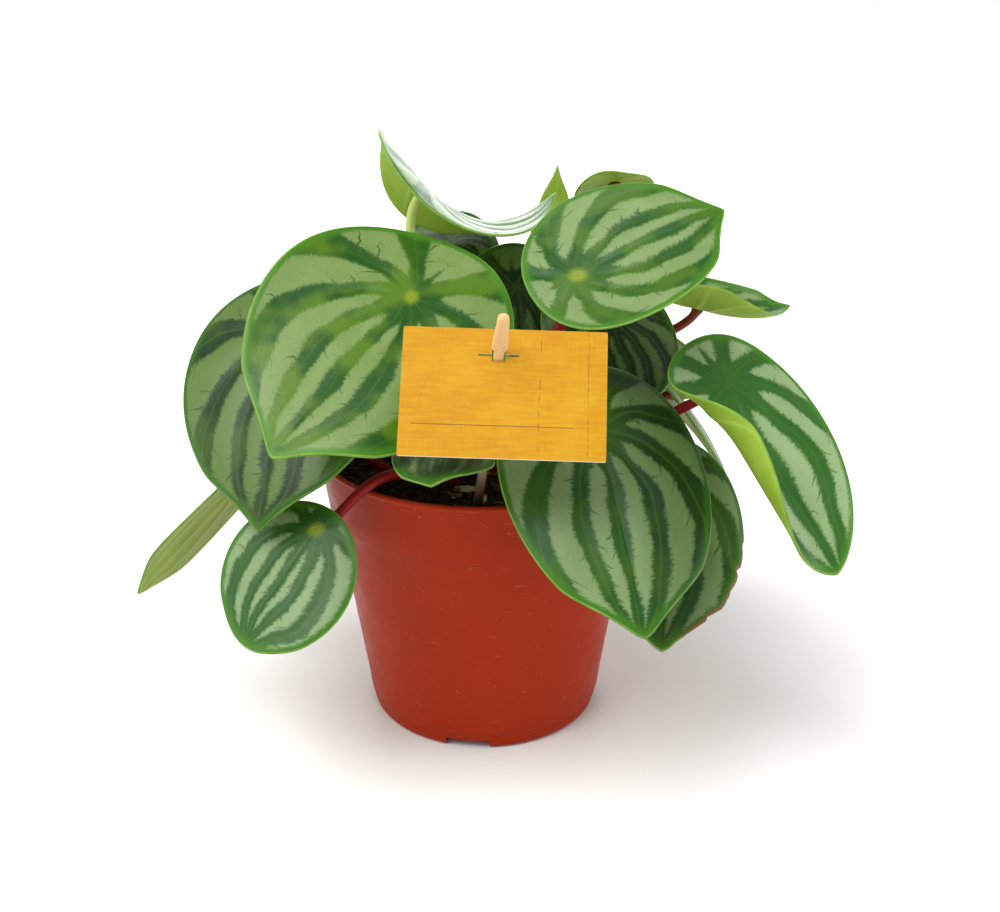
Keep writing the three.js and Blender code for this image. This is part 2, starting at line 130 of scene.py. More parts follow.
# Blades
BLADE_HALF = 0.45
BLADE_EDGE = 0.5
OUTLINE_STEPS = 64
RING_COUNT = 30
INNER_RINGS = (0.035, 0.965)
EDGE_RINGS = (0.988, 1)
BEND_SAMPLES = 16
BEND_POWER = 1.5
BELLY = 0.5
NOSE_START = 0.8
RIPPLE = 1.5
RIPPLE_WAVES = 3
RIPPLE_REACH = 1.3
NORMAL_STEP = 0.4
VEIN_STEP = math.radians(38)
SIDE_VEIN_STEP = 5.6
QUILT = 0.5
QUILT_POWER = 0.8
QUILT_SINK = 0.6
QUILT_SPREAD = (1, 5)
QUILT_RIM = (0, 4)
NIBBLE_START = (0.45, 0.6)
NIBBLE_END = (1, 0.9)
BITE_DEPTH = 0.9
BITE_WAVE = 61
SMALL_BITE = 0.7
SMALL_BITE_WAVE = 97
WORN_FROM = 0.75
# Where painted shade deepens across a leaf, as shares of its length from the midrib
PAINTED_SHADE_SIDE = (-0.05, 0.2)
TIP_UNIT = 100
BLADE_SEED = 3.7

# Stalks: thinner upwards, swollen where they leave the soil and where they meet the blade
STALK_RADIUS = 2
STALK_SIDES = 14
STALK_STEPS = 44
STALK_DEPTH = 7
STALK_THICK = 1.04
STALK_THINNING = 0.22
FOOT_SWELLING = (0.16, 5)
TOP_SWELLING = (0.45, 1.4)
RIDGES = 5
RIDGE_HEIGHT = 0.035
BEAT_HEIGHT = 0.012
BEAT_PITCH = 1.1
RING_START = [0.3, 1, 0.2]
STALK_SEED = 1.9

# Card
CARD_CENTRE = (7, -90, 153.8)
CARD_WIDTH = 60
CARD_HEIGHT = 39.5
CARD_THICKNESS = 0.8
CARD_CORNER = 0.4
CARD_LEAN = 37.6
CARD_TILT = -2
CARD_COLUMNS = 60
CARD_ROWS = 40
CARD_WARP = 0.18
WARP_ACROSS = 0.06
WARP_UP = 0.07
WARP_SHIFT = 0.4
CARD_SHARP = 40
SLOT_ACROSS = -1.8
SLOT_UP = 11.6
SLOT_GAPS = [(12, 0.7), (4, 4)]

# Peg
PEG_FOOT = (-4, -35.3, 76.3)
PEG_HEAD = (7.2, -91, 177.7)
PEG_HEAD_WIDTH = 4.9
PEG_TOP_WIDTH = 3.4
PEG_SHANK_WIDTH = 3
PEG_POINT_WIDTH = 1.2
PEG_POINT_LENGTH = 8
PEG_POINT_THICK = 0.55
PEG_THICKNESS = 2.6
PEG_SHOULDER_AT = 101.6
PEG_SHOULDER_LENGTH = 1.4
PEG_SIDES = 16
PEG_WIDE_POWER = 0.45
PEG_THICK_POWER = 0.6
PEG_WOBBLE = 0.05
WOBBLE_PITCH = 0.9


def fill(thing, settings):
    for name, value in settings.items():
        setattr(thing, name, value)


class Leaf:
    """A leaf and its stalk, as in the part. at is where the stalk meets the blade. turn is, in degrees,
    where the tip points, how far it hangs down and how far the left edge is up. size is the length, and
    as shares of it the width and the stalk's place. root is where the stalk leaves the soil. stem is how
    far it rises there, and how far it comes from the blade's base and from below. cool makes the colour
    bluer, partly as the leaf's own tone and partly as a painted sheen. dark deepens it as painted shade,
    and painted_shade_left deepens it further towards the left edge, also as painted shade."""

    tip_bend = 25
    base_bend = 15
    cup_left = 20
    cup_right = 20
    cup_left_tip = None
    cup_right_tip = None
    cup_span = 1
    crease = 1.6
    sweep = 0
    taper = 0.66
    nose_nip = 0.45
    nibbled = 0
    lean = (0, 0)
    cool_and_sheen = 0.3
    dark = 0.3
    painted_shade_left = 0
    spot = 1
    green_stalk = False

    def __init__(self, name, at, turn, size, root, stem, **own):
        self.name = name
        self.at = np.array(at, float)
        heading, pitch, roll = (math.radians(angle) for angle in turn)
        self.frame = np.array(Euler([roll, pitch, heading], "XYZ").to_matrix())
        self.long, wide, attach = size
        self.base = attach * self.long
        self.tip = self.long - self.base
        self.half = wide * self.long / 2
        self.root = root
        self.rise, self.slide, self.stem = stem
        fill(self, own)


LEAVES = [
    Leaf("front_left_large", at=(-21.5, -46, 170), turn=(-131, 23, -20), size=(99.5, 0.82, 0.28),
         root=(-8, -16), stem=(42, 4, 30), tip_bend=12, base_bend=0, cup_left=48, cup_right=-24, sweep=5,
         cool_and_sheen=0, dark=0),
    Leaf("left_large", at=(-63, -20, 150), turn=(-104, 42, 6), size=(98, 0.85, 0.29), root=(-16, -8),
         stem=(34, 4, 26), tip_bend=22, base_bend=12, taper=0.78, cool_and_sheen=0, dark=0.72),
    Leaf("left_low_small", at=(-54, -58, 95), turn=(-144, 42, -20), size=(52.5, 0.96, 0.16),
         root=(-18, -28), stem=(20, 22, 4), tip_bend=10, base_bend=4, cup_left=14, cup_right=6, sweep=2,
         taper=0.48, nose_nip=0.1, lean=(-14, -26), cool_and_sheen=0.8),
    Leaf("far_left_edge_on", at=(-84, -7, 95.5), turn=(-150, 38, 42), size=(81, 0.68, 0.26),
         root=(-32, -20), stem=(30, 26, 14), tip_bend=5, base_bend=8, cup_left=8, cup_right=8,
         lean=(-30, -6), cool_and_sheen=0.7),
    Leaf("top_hooded", at=(-19, 2, 196), turn=(-3, 46, -8), size=(78, 0.72, 0.32), root=(-2, -6),
         stem=(48, 0, 26), tip_bend=-112, base_bend=-10, cup_left=116, cup_right=34, cup_left_tip=0,
         cup_right_tip=-10, cool_and_sheen=1, dark=0, green_stalk=True),
    Leaf("top_young_folded", at=(24.5, 32, 157), turn=(-84, -86, 0), size=(60, 0.3, 0.3), root=(8, 10),
         stem=(34, 2, 10), tip_bend=-10, base_bend=5, sweep=2.5, taper=0.8, cool_and_sheen=0, dark=0,
         green_stalk=True),
    Leaf("right_upper", at=(31, -42, 176.5), turn=(15, -25, 30), size=(70, 0.87, 0.24), root=(4, -20),
         stem=(38, 10, 26), tip_bend=16, base_bend=-5, cup_left=-8, cup_right=-16, taper=0.74,
         lean=(4, -4), cool_and_sheen=0.35, dark=0.1),
    Leaf("right_top_small", at=(47, 22, 194), turn=(90, 34, 0), size=(42, 0.7, 0.32), root=(16, 18),
         stem=(44, 0, 26), cool_and_sheen=0, dark=0),
    Leaf("right_trough", at=(78, 16, 150), turn=(-2, 14, 2), size=(55, 0.64, 0.38), root=(22, 12),
         stem=(34, 0, 14), tip_bend=-40, base_bend=0, cup_left=-72, cup_right=-84, crease=1, dark=0.1),
    # Painted shade: this leaf is deepened all over
    Leaf("right_shaded", at=(43.5, -9.5, 152.5), turn=(-62, 42, 8), size=(58, 0.86, 0.38), root=(14, -8),
         stem=(20, 0, 12), tip_bend=20, lean=(8, 0), dark=1, spot=0),
    Leaf("right_large_folded", at=(78, -45, 141), turn=(-48, 40, 22), size=(89, 0.63, 0.2),
         root=(24, -12), stem=(12, 0, 6), tip_bend=20, base_bend=-12, cup_left=22, cup_right=-40,
         cup_right_tip=-128, cup_span=0.35, crease=1, taper=0.74, nose_nip=0, lean=(20, -10), cool_and_sheen=0.85,
         dark=0, spot=0),
    # Painted shade: this leaf deepens towards its left edge
    Leaf("front_centre", at=(36, -62, 132), turn=(-74, 38, 3), size=(97, 0.7, 0.29), root=(14, -20),
         stem=(22, 4, 16), tip_bend=22, base_bend=20, cool_and_sheen=0.6, painted_shade_left=0.65),
    Leaf("front_right_low", at=(58, -46, 113), turn=(-90, 38, -8), size=(79, 0.76, 0.2), root=(24, -20),
         stem=(18, 6, 12), tip_bend=20, base_bend=24, nibbled=1, lean=(24, -14), cool_and_sheen=0.6, dark=0.5),
    Leaf("under_card_small", at=(-10, -76, 133), turn=(-98, 2, 0), size=(35, 0.9, 0.22), root=(-10, -28),
         stem=(14, 6, 10), tip_bend=12, base_bend=10, dark=0.6),
    # Painted shade: these two inner leaves are deepened all over
    Leaf("centre_inner", at=(12, 6, 160), turn=(-75, 52, 0), size=(58, 0.7, 0.32), root=(2, -6),
         stem=(24, 2, 10), cool_and_sheen=0.1, dark=0.95, spot=0),
    Leaf("top_inner_dark", at=(-12, 28, 171), turn=(-95, 46, 0), size=(50, 0.76, 0.3), root=(-8, 8),
         stem=(40, 2, 12), cool_and_sheen=0.1, dark=1, spot=0),
    Leaf("back_left_upper", at=(-45, 45, 138), turn=(125, 34, 0), size=(92, 0.82, 0.32), root=(-14, 10),
         stem=(24, 4, 18)),
    Leaf("back_centre_upper", at=(2, 56, 146), turn=(92, 32, 0), size=(88, 0.82, 0.3), root=(0, 16),
         stem=(30, 4, 18), cool_and_sheen=0.1, dark=0.2),
    Leaf("back_right_upper", at=(52, 48, 134), turn=(52, 38, 0), size=(84, 0.8, 0.28), root=(24, 21),
         stem=(24, 4, 18), cool_and_sheen=0.5, dark=0.4),
    Leaf("back_far_left", at=(-76, 32, 116), turn=(160, 46, 0), size=(82, 0.78, 0.28), root=(-22, 8),
         stem=(16, 4, 16), cool_and_sheen=0.4, dark=0.5),
    Leaf("back_right_low", at=(32, 66, 114), turn=(70, 54, 0), size=(82, 0.76, 0.3), root=(12, 29),
         stem=(16, 6, 12), cool_and_sheen=0.6, dark=0.6),
    Leaf("back_left_low", at=(-26, 68, 112), turn=(112, 54, 0), size=(82, 0.76, 0.3), root=(-8, 22),
         stem=(16, 6, 12), cool_and_sheen=0.2, dark=0.6),
    Leaf("back_far_right", at=(72, 20, 116), turn=(8, 52, 0), size=(74, 0.76, 0.3), root=(30, 6),
         stem=(14, 8, 14), lean=(12, 4), cool_and_sheen=0.1),
]

pot_low, pot_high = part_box("pot")
AXIS = np.array([(pot_low.x + pot_high.x) / 2, (pot_low.y + pot_high.y) / 2, 0])


def smooth(low, high, value):
    t = np.clip((value - low) / (high - low), 0, 1)
    return t * t * (3 - 2 * t)


def unit(vectors):
    return vectors / np.linalg.norm(vectors, axis=-1, keepdims=True)


# Meshes

def add_object(name, data):
    thing = bpy.data.objects.new(name, data)
    bpy.context.scene.collection.objects.link(thing)
    return thing


def new_mesh(name, points, faces):
    """A mesh from points in millimetres round the pot's axis."""
    mesh = bpy.data.meshes.new(name)
    mesh.from_pydata((np.asarray(points, float) * MM + AXIS).tolist(), [], faces)
    return mesh


def make_piece(name, points, faces, materials, replaces=(), face_material=None, attributes=None):
    """A piece of the part that rides on it, with a value for each point in each of its attributes."""
    mesh = new_mesh(name, points, faces)
    for material in materials:
        mesh.materials.append(material)
    if face_material is not None:
        mesh.polygons.foreach_set("material_index", np.asarray(face_material, np.int32))
    for key, values in (attributes or {}).items():
        values = np.asarray(values, np.float32)
        kind, field = ("FLOAT", "value") if values.ndim == 1 else ("FLOAT_VECTOR", "vector")
        mesh.attributes.new(key, kind, "POINT").data.foreach_set(field, values.ravel())
    mesh.validate()
    mesh.shade_smooth()
    piece = add_object(name, mesh)
    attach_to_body(piece, BODY)
    if replaces:
        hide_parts(*replaces)
    return piece


def circle(sides):
    return 2 * np.pi * np.arange(sides) / sides


def grid_faces(rows, columns):
    """Quads between rows of points, each row closed into a ring."""
    faces = []
    for row in range(rows - 1):
        low, high = row * columns, (row + 1) * columns
        for column in range(columns):
            after = (column + 1) % columns
            faces.append((low + column, low + after, high + after, high + column))
    return faces


def tube_faces(rows, columns):
    """Rings of points with a flat face over the first and the last."""
    faces = grid_faces(rows, columns)
    faces.append(tuple(reversed(range(columns))))
    faces.append(tuple((rows - 1) * columns + i for i in range(columns)))
    return faces


def skin_faces(rows, columns, first, last):
    """Rings of points with a fan from the first and the last to one point each."""
    faces = grid_faces(rows, columns)
    edge = (rows - 1) * columns
    for i in range(columns):
        after = (i + 1) % columns
        faces.append((first, after, i))
        faces.append((last, edge + i, edge + after))
    return faces


# Leaf shape

def half_width(leaf, s):
    widest = BELLY / (BELLY + leaf.taper)
    most = widest ** BELLY * (1 - widest) ** leaf.taper
    return s ** BELLY * (1 - s) ** leaf.taper / most * (1 - leaf.nose_nip * smooth(NOSE_START, 1, s))


def blade_outline(leaf):
    """The outline's points, down the right edge and back up the left, and how nibbled each is."""
    s = (1 - np.cos(np.pi * np.arange(OUTLINE_STEPS + 1) / OUTLINE_STEPS)) / 2
    x = s * leaf.long - leaf.base
    y = half_width(leaf, s) * leaf.half
    right = np.stack([x, -y], -1)
    nibble = leaf.nibbled * smooth(*NIBBLE_START, s) * smooth(*NIBBLE_END, s)
    bites = np.sin(s * BITE_WAVE) + SMALL_BITE * np.sin(s * SMALL_BITE_WAVE + 1)
    left = np.stack([x, np.maximum(y - BITE_DEPTH * np.maximum(0, bites) * nibble, 0)], -1)
    return np.concatenate([right, left[-2:0:-1]]), np.concatenate([0 * nibble, nibble[-2:0:-1]])


def bent(leaf, x, y):
    """Where flat points of a blade lie once it is bent along, cupped across and rippled."""
    u = (np.arange(BEND_SAMPLES) + 0.5) / BEND_SAMPLES
    tip_bend, base_bend = math.radians(leaf.tip_bend), math.radians(leaf.base_bend)

    def turn(reach):
        ahead = tip_bend * (np.maximum(reach, 0) / leaf.tip) ** BEND_POWER
        return np.where(reach > 0, ahead, base_bend * reach / leaf.base)

    def cup(near, far):
        return near if far is None else near + (far - near) * along

    sampled = turn(x[:, None] * u)
    along = smooth(-leaf.base, leaf.tip * leaf.cup_span, x)
    cup_left, cup_right = cup(leaf.cup_left, leaf.cup_left_tip), cup(leaf.cup_right, leaf.cup_right_tip)
    cupped = np.radians(np.where(y > 0, cup_left, cup_right))
    fold = cupped[:, None] * (np.abs(y)[:, None] * u / leaf.half) ** leaf.crease
    out = np.minimum(np.hypot(x / leaf.tip, y / leaf.half), RIPPLE_REACH)
    wave = RIPPLE * np.sin(RIPPLE_WAVES * np.arctan2(y / leaf.half, x / leaf.tip)) * out ** 2
    across = np.cos(fold).mean(-1) * y + leaf.sweep * (x / leaf.tip) ** 2
    lift = wave - np.sin(fold).mean(-1) * np.abs(y)
    angle = turn(x)
    forward = np.cos(sampled).mean(-1) * x + lift * np.sin(angle)
    return np.stack([forward, across, lift * np.cos(angle) - np.sin(sampled).mean(-1) * x], -1)


def quilt_height(leaf, x, y, rim):
    """How far the flesh stands up, most in the middle between two main veins."""
    side = np.abs(y)
    turns = (np.arctan2(side, x) + np.arctan2(side, leaf.tip - x)) / VEIN_STEP
    share = np.abs(turns - np.round(turns)) * 2
    spread = np.hypot(x, y) * np.hypot(leaf.tip - x, y) / leaf.tip * VEIN_STEP / 2
    strength = QUILT * smooth(*QUILT_SPREAD, spread) * smooth(*QUILT_RIM, rim)
    return strength * (np.sin(share * np.pi / 2) ** QUILT_POWER - QUILT_SINK)


def blade_points(leaf, x, y, height):
    """Points at a height above or below a blade's middle surface."""
    near = NORMAL_STEP
    normal = np.cross(
        bent(leaf, x + near, y) - bent(leaf, x - near, y),
        bent(leaf, x, y + near) - bent(leaf, x, y - near),
    )
    return bent(leaf, x, y) + unit(normal) * height[:, None]


def blade(leaf, number, materials):
    """A blade as rings round the stalk's place. Its top, underside and edge each have a material."""
    outline, nibble = blade_outline(leaf)
    count = len(outline)
    rings = np.concatenate([np.linspace(*INNER_RINGS, RING_COUNT - len(EDGE_RINGS)), EDGE_RINGS])
    reach = np.hypot(*outline.T)
    tangent = unit(np.roll(outline, -1, 0) - np.roll(outline, 1, 0))
    square = np.abs(outline[:, 0] * tangent[:, 1] - outline[:, 1] * tangent[:, 0])
    flat = np.concatenate([[[0, 0]]] + [outline * ring for ring in rings])
    rim = np.concatenate([[reach.min()]] + [square * (1 - ring) for ring in rings])
    worn = np.concatenate([[0]] + [nibble * smooth(WORN_FROM, 1, ring) for ring in rings])
    x, y = flat.T
    lift = quilt_height(leaf, x, y, rim)
    thick = BLADE_HALF * np.sqrt(np.clip(rim / BLADE_EDGE, 0, 1))
    total = len(flat)
    edge = total - count
    top = blade_points(leaf, x, y, lift + thick)
    under = blade_points(leaf, x[:edge], y[:edge], (lift - thick)[:edge])
    points = np.concatenate([top, under]) @ leaf.frame.T + leaf.at
    faces, kinds = [], []

    def below(index):
        return index if index >= edge else index + total

    for i in range(count):
        after = (i + 1) % count
        faces.append((0, 1 + i, 1 + after))
        faces.append((below(0), below(1 + after), below(1 + i)))
        kinds += [0, 1]
    for ring in range(1, len(rings)):
        near, far = 1 + (ring - 1) * count, 1 + ring * count
        top_kind, under_kind = (2, 2) if ring == len(rings) - 1 else (0, 1)
        for i in range(count):
            after = (i + 1) % count
            quad = (near + i, far + i, far + after, near + after)
            faces.append(quad)
            faces.append(tuple(below(index) for index in reversed(quad)))
            kinds += [top_kind, under_kind]
    # The tone: how blue, partly as a painted sheen, how deep in painted shade, and how long the tip is
    tone = np.tile([leaf.cool_and_sheen, leaf.dark, leaf.tip / TIP_UNIT], (total, 1))
    # Painted shade that deepens towards the left edge
    tone[:, 1] += leaf.painted_shade_left * smooth(*PAINTED_SHADE_SIDE, y / leaf.long)
    attributes = {
        "plan": np.stack([x / leaf.tip, y / leaf.tip, np.full(total, number * BLADE_SEED)], -1),
        "tone": tone,
        "rim": rim,
        "worn": worn,
        "spot": np.full(total, leaf.spot),
    }
    attributes = {key: np.concatenate([values, values[:edge]]) for key, values in attributes.items()}
    make_piece(
        f"blade_{leaf.name}", points, faces, materials, [f"leaf_{leaf.name}"], kinds, attributes
    )


# Stalk shape

def stalk_path(leaf):
    """Points from the stalk's foot in the soil, along one curve, to the underside of its blade."""
    normal, baseward = leaf.frame[:, 2], -leaf.frame[:, 0]
    aslant = leaf.slide / math.hypot(leaf.slide, leaf.stem)
    end = leaf.at - normal * (BLADE_HALF + STALK_RADIUS * aslant)
    before = end + baseward * leaf.slide - normal * leaf.stem
    out = np.array([*leaf.root, SOIL_LEVEL + 1], float)
    after = out + np.array([*leaf.lean, leaf.rise], float)
    t = np.linspace(0, 1, STALK_STEPS)[:, None]
    back = 1 - t
    curve = back ** 3 * out + 3 * back ** 2 * t * after + 3 * back * t ** 2 * before + t ** 3 * end
    return np.concatenate([[out - unit(after - out) * STALK_DEPTH], curve])


def swelling(distance, most, reach):
    return 1 + most * math.exp(-((distance / reach) ** 2))


def stalk(leaf, number, material):
    path = stalk_path(leaf)
    travel = np.concatenate([[0], np.cumsum(np.linalg.norm(np.diff(path, axis=0), axis=1))])
    length = travel[-1]
    tangent = unit(np.gradient(path, travel, axis=0))
    side = np.cross(tangent[0], RING_START)
    angle = circle(STALK_SIDES)
    cosine, sine = np.cos(angle)[:, None], np.sin(angle)[:, None]
    points = []
    for place, along, forward in zip(path, travel, tangent):
        side = unit(side - forward * (side @ forward))
        other = np.cross(forward, side)
        radius = STALK_RADIUS * (STALK_THICK - STALK_THINNING * along / length)
        radius *= swelling(along - STALK_DEPTH, *FOOT_SWELLING)
        radius *= swelling(length - along, *TOP_SWELLING)
        ridge = 1 + RIDGE_HEIGHT * np.cos(RIDGES * angle + number)
        ridge += BEAT_HEIGHT * math.sin(along * BEAT_PITCH + number)
        points.append(place + radius * ridge[:, None] * (cosine * side + sine * other))
    up = np.repeat(travel / length, STALK_SIDES)
    around = np.tile(np.cos(angle), len(path))
    track = np.stack([up, around, np.full(len(up), number * STALK_SEED)], -1)
    make_piece(
        f"petiole_{leaf.name}", np.concatenate(points), tube_faces(len(path), STALK_SIDES), [material],
        [f"stalk_{leaf.name}"], attributes={"track": track},
    )


# Pot

INSIDE_WALL = [
    (BODY_FOOT_RADIUS - FLOOR_TUCK, FLOOR_TOP),
    (BODY_FOOT_RADIUS - WALL, BODY_FOOT_HEIGHT),
    (BODY_TOP_RADIUS - WALL - EDGE_ROUND / 2, COLLAR_BOTTOM - COLLAR_EASE),
    (COLLAR_BOTTOM_RADIUS - WALL, COLLAR_BOTTOM + COLLAR_EASE),
    (RIM_RADIUS - WALL - EDGE_ROUND, POT_HEIGHT - RIM_LIP / 2),
]


def rounded(profile):
    """A profile with each inner corner replaced by a short curve."""
    points = [profile[0]]
    for before, corner, after in zip(profile, profile[1:], profile[2:]):
        corner = np.array(corner, float)
        back, ahead = np.array(before) - corner, np.array(after) - corner
        back_length, ahead_length = np.linalg.norm(back), np.linalg.norm(ahead)
        reach = min(CORNER_RADIUS, back_length * CORNER_SHARE, ahead_length * CORNER_SHARE)
        start = corner + back / back_length * reach
        stop = corner + ahead / ahead_length * reach
        for t in np.linspace(0, 1, CORNER_STEPS + 1):
            points.append(tuple((1 - t) ** 2 * start + 2 * t * (1 - t) * corner + t * t * stop))
    points.append(profile[-1])
    return points


def split_long(profile):
    """The same profile with no straight stretch longer than the longest one allowed."""
    points = [profile[0]]
    for start, stop in zip(profile, profile[1:]):
        pieces = max(1, math.ceil(math.dist(start, stop) / LONGEST_STRETCH))
        for i in range(1, pieces + 1):
            points.append(tuple(np.array(start) + (np.array(stop) - np.array(start)) * i / pieces))
    return points


def ring_points(radius, height, angle):
    return np.stack([radius * np.cos(angle), radius * np.sin(angle), np.full(len(angle), height)], -1)


def turned(profile, sides):
    """Points and faces of a profile turned round the axis. It starts and ends on the axis."""
    rings = [ring_points(radius, height, circle(sides)) for radius, height in profile[1:-1]]
    points = np.concatenate([*rings, [(0, 0, profile[0][1]), (0, 0, profile[-1][1])]])
    return points, skin_faces(len(rings), sides, len(points) - 2, len(points) - 1)


def cutter(points, faces):
    return add_object("cutter", new_mesh("cutter", points, faces))


BLOCK_FACES = [(0, 2, 3, 1), (4, 5, 7, 6), (0, 1, 5, 4), (2, 6, 7, 3), (0, 4, 6, 2), (1, 3, 7, 5)]


def block_points(length, width, height, turn, reach):
    base = [(x, y) for y in (-width / 2, width / 2) for x in (0, length)]
    corners = [(x, y, z) for z in (-height, height) for x, y in base]
    c, s = math.cos(turn), math.sin(turn)
    return [((x + reach) * c - y * s, (x + reach) * s + y * c, z) for x, y, z in corners]


def drum_points(radius, low, high, turn, reach):
    centre = np.array([reach * math.cos(turn), reach * math.sin(turn), 0])
    return np.concatenate([ring_points(radius, z, circle(DRAIN_SIDES)) + centre for z in (low, high)])


def apply_cuts(piece, cutters):
    for other in cutters:
        cut = piece.modifiers.new("cut", "BOOLEAN")
        cut.operation = "DIFFERENCE"
        cut.solver = "EXACT"
        cut.object = other
    bpy.context.view_layer.update()
    evaluated = piece.evaluated_get(bpy.context.evaluated_depsgraph_get())
    mesh = bpy.data.meshes.new_from_object(evaluated)
    piece.modifiers.clear()
    piece.data = mesh
    for other in cutters:
        bpy.data.objects.remove(other)
    mesh.shade_smooth()
    mesh.set_sharp_from_angle(angle=math.radians(POT_SHARP))


def pot(material):
    profile = [
        (0, FLOOR_UNDERSIDE),
        (FOOT_RING_INSIDE, FLOOR_UNDERSIDE),
        (FOOT_RING_INSIDE + EDGE_ROUND, 0),
        (FOOT_RADIUS, 0),
        *((FOOT_RADIUS + outward, height) for outward, height in FOOT_FLARE),
        (BODY_FOOT_RADIUS, BODY_FOOT_HEIGHT),
        (BODY_TOP_RADIUS, COLLAR_BOTTOM),
        (COLLAR_BOTTOM_RADIUS, COLLAR_BOTTOM),
        (RIM_RADIUS - EDGE_ROUND, POT_HEIGHT - 2 * RIM_LIP),
        (RIM_RADIUS, POT_HEIGHT - RIM_LIP),
        (RIM_RADIUS - EDGE_ROUND, POT_HEIGHT),
        (RIM_RADIUS - WALL, POT_HEIGHT),
        *reversed(INSIDE_WALL),
        (0, FLOOR_TOP),
    ]
    points, faces = turned(split_long(rounded(profile)), POT_SIDES)
    piece = make_piece("pot_shell", points, faces, [material], ["pot"])
    cutters = []
    for i in range(NOTCH_COUNT):
        turn = math.radians(NOTCH_AZIMUTH + 360 / NOTCH_COUNT * i)
        notch = block_points(FOOT_RADIUS, NOTCH_WIDTH, NOTCH_HEIGHT, turn, FOOT_RADIUS / 2)
        cutters.append(cutter(notch, BLOCK_FACES))
        drain = drum_points(DRAIN_RADIUS, -FLOOR_TOP, 2 * FLOOR_TOP, turn, DRAIN_RING_RADIUS)
        cutters.append(cutter(drain, tube_faces(2, DRAIN_SIDES)))
    apply_cuts(piece, cutters)


# Soil

def soil_height(x, y):
    inward = 1 - np.hypot(x, y) / (RIM_RADIUS - SOIL_RIM)
    across, away, aslant = LUMP_PITCHES
    lumps = np.sin(x * across + LUMP_SHIFTS[0]) * np.cos(y * away + LUMP_SHIFTS[1])
    lumps += LUMPS_ASLANT * np.sin((x + y) * aslant)
    fade = np.minimum(1, LUMP_FADE * np.maximum(inward, 0))
    return SOIL_LEVEL + SOIL_MOUND * inward ** 2 + LUMP_HEIGHT * lumps * fade


def crumbly(x, y):
    """Fine roughness of the soil's surface, from crossed waves of falling length."""
    rough = 0
    for i in range(ROUGH_WAVES):
        turn, pitch = ROUGH_TURN * i, ROUGH_PITCH * ROUGH_GROWTH ** i
        way = np.sin((x * math.cos(turn) + y * math.sin(turn)) * pitch + i)
        cross = np.sin((y * math.cos(turn) - x * math.sin(turn)) * pitch * ROUGH_CROSS + 2 * i)
        rough += way * cross * ROUGH_HEIGHT / ROUGH_FALL ** i
    return rough


def soil(material):
    edge = SOIL_LEVEL - SOIL_EDGE_DROP
    radii, heights = zip(*INSIDE_WALL)
    outer = float(np.interp(edge, heights, radii)) - SOIL_GAP
    wall = [(radius - SOIL_GAP, height) for radius, height in INSIDE_WALL if height < edge]
    wall[0] = (wall[0][0], wall[0][1] + SOIL_GAP)
    angle = circle(SOIL_SIDES)
    rows = [ring_points(radius, height, angle) for radius, height in wall]
    rows.append(ring_points(outer, edge + SOIL_EDGE_LIP, angle))
    for share in np.linspace(1, 1 / SOIL_RINGS, SOIL_RINGS)[1:]:
        x, y = outer * share * np.cos(angle), outer * share * np.sin(angle)
        height = soil_height(x, y) + crumbly(x, y) * min(1, (1 - share) * ROUGH_FADE)
        rows.append(np.stack([x, y, height], -1))
    points = np.concatenate([*rows, [(0, 0, soil_height(0, 0)), (0, 0, wall[0][1])]])
    faces = skin_faces(len(rows), SOIL_SIDES, len(points) - 1, len(points) - 2)
    make_piece("soil_block", points, faces, [material], ["potting_soil"])


# A ball of twelve corners, for crumbs
GOLDEN = (1 + 5 ** 0.5) / 2
CRUMB_CORNERS = np.array([
    np.roll((a, b, 0), turn) for turn in range(3) for b in (GOLDEN, -GOLDEN) for a in (-1, 1)
]) / math.hypot(1, GOLDEN)
CRUMB_FACES = [
    (0, 11, 5), (0, 5, 1), (0, 1, 7), (0, 7, 10), (0, 10, 11), (1, 5, 9), (5, 11, 4), (11, 10, 2),
    (10, 7, 6), (7, 1, 8), (3, 9, 4), (3, 4, 2), (3, 2, 6), (3, 6, 8), (3, 8, 9), (4, 9, 5),
    (2, 4, 11), (6, 2, 10), (8, 6, 7), (9, 8, 1),
]


def crumbs(material):
    """Peat crumbs, a few bark chips and pale grains, lying on the soil."""
    draw = random.Random(CRUMB_SEED)
    points, faces, shade = [], [], []
    for i in range(CRUMB_COUNT):
        kind = draw.random()
        reach = (RIM_RADIUS - CRUMB_MARGIN) * math.sqrt(draw.random())
        turn = draw.uniform(0, 2 * math.pi)
        x, y = reach * math.cos(turn), reach * math.sin(turn)
        size = draw.uniform(*CRUMB_SIZE)
        stretch = np.array([draw.uniform(*span) for span in CRUMB_STRETCH])
        if kind > CHIP_FROM:
            size, stretch = draw.uniform(*CHIP_SIZE), CHIP_STRETCH
        spin = Euler([draw.uniform(*span) for span in (CRUMB_TILT, CRUMB_TILT, CRUMB_SPIN)])
        rough = np.array([[draw.uniform(*CRUMB_ROUGH)] for _ in CRUMB_CORNERS])
        shape = CRUMB_CORNERS * rough * stretch * size @ np.array(spin.to_matrix()).T
        height = float(soil_height(x, y) + crumbly(x, y)) + CRUMB_LIFT * size
        points.append(shape + np.array([x, y, height]))
        base = i * len(CRUMB_CORNERS)
        faces += [tuple(base + corner for corner in face) for face in CRUMB_FACES]
        tint = draw.uniform(*(DARK_TINTS if kind < BROWN_FROM else BROWN_TINTS))
        shade += [1 if kind > PALE_FROM else tint] * len(CRUMB_CORNERS)
    make_piece(
        "soil_crumbs", np.concatenate(points), faces, [material], attributes={"tint": shade}
    )


# Card and peg

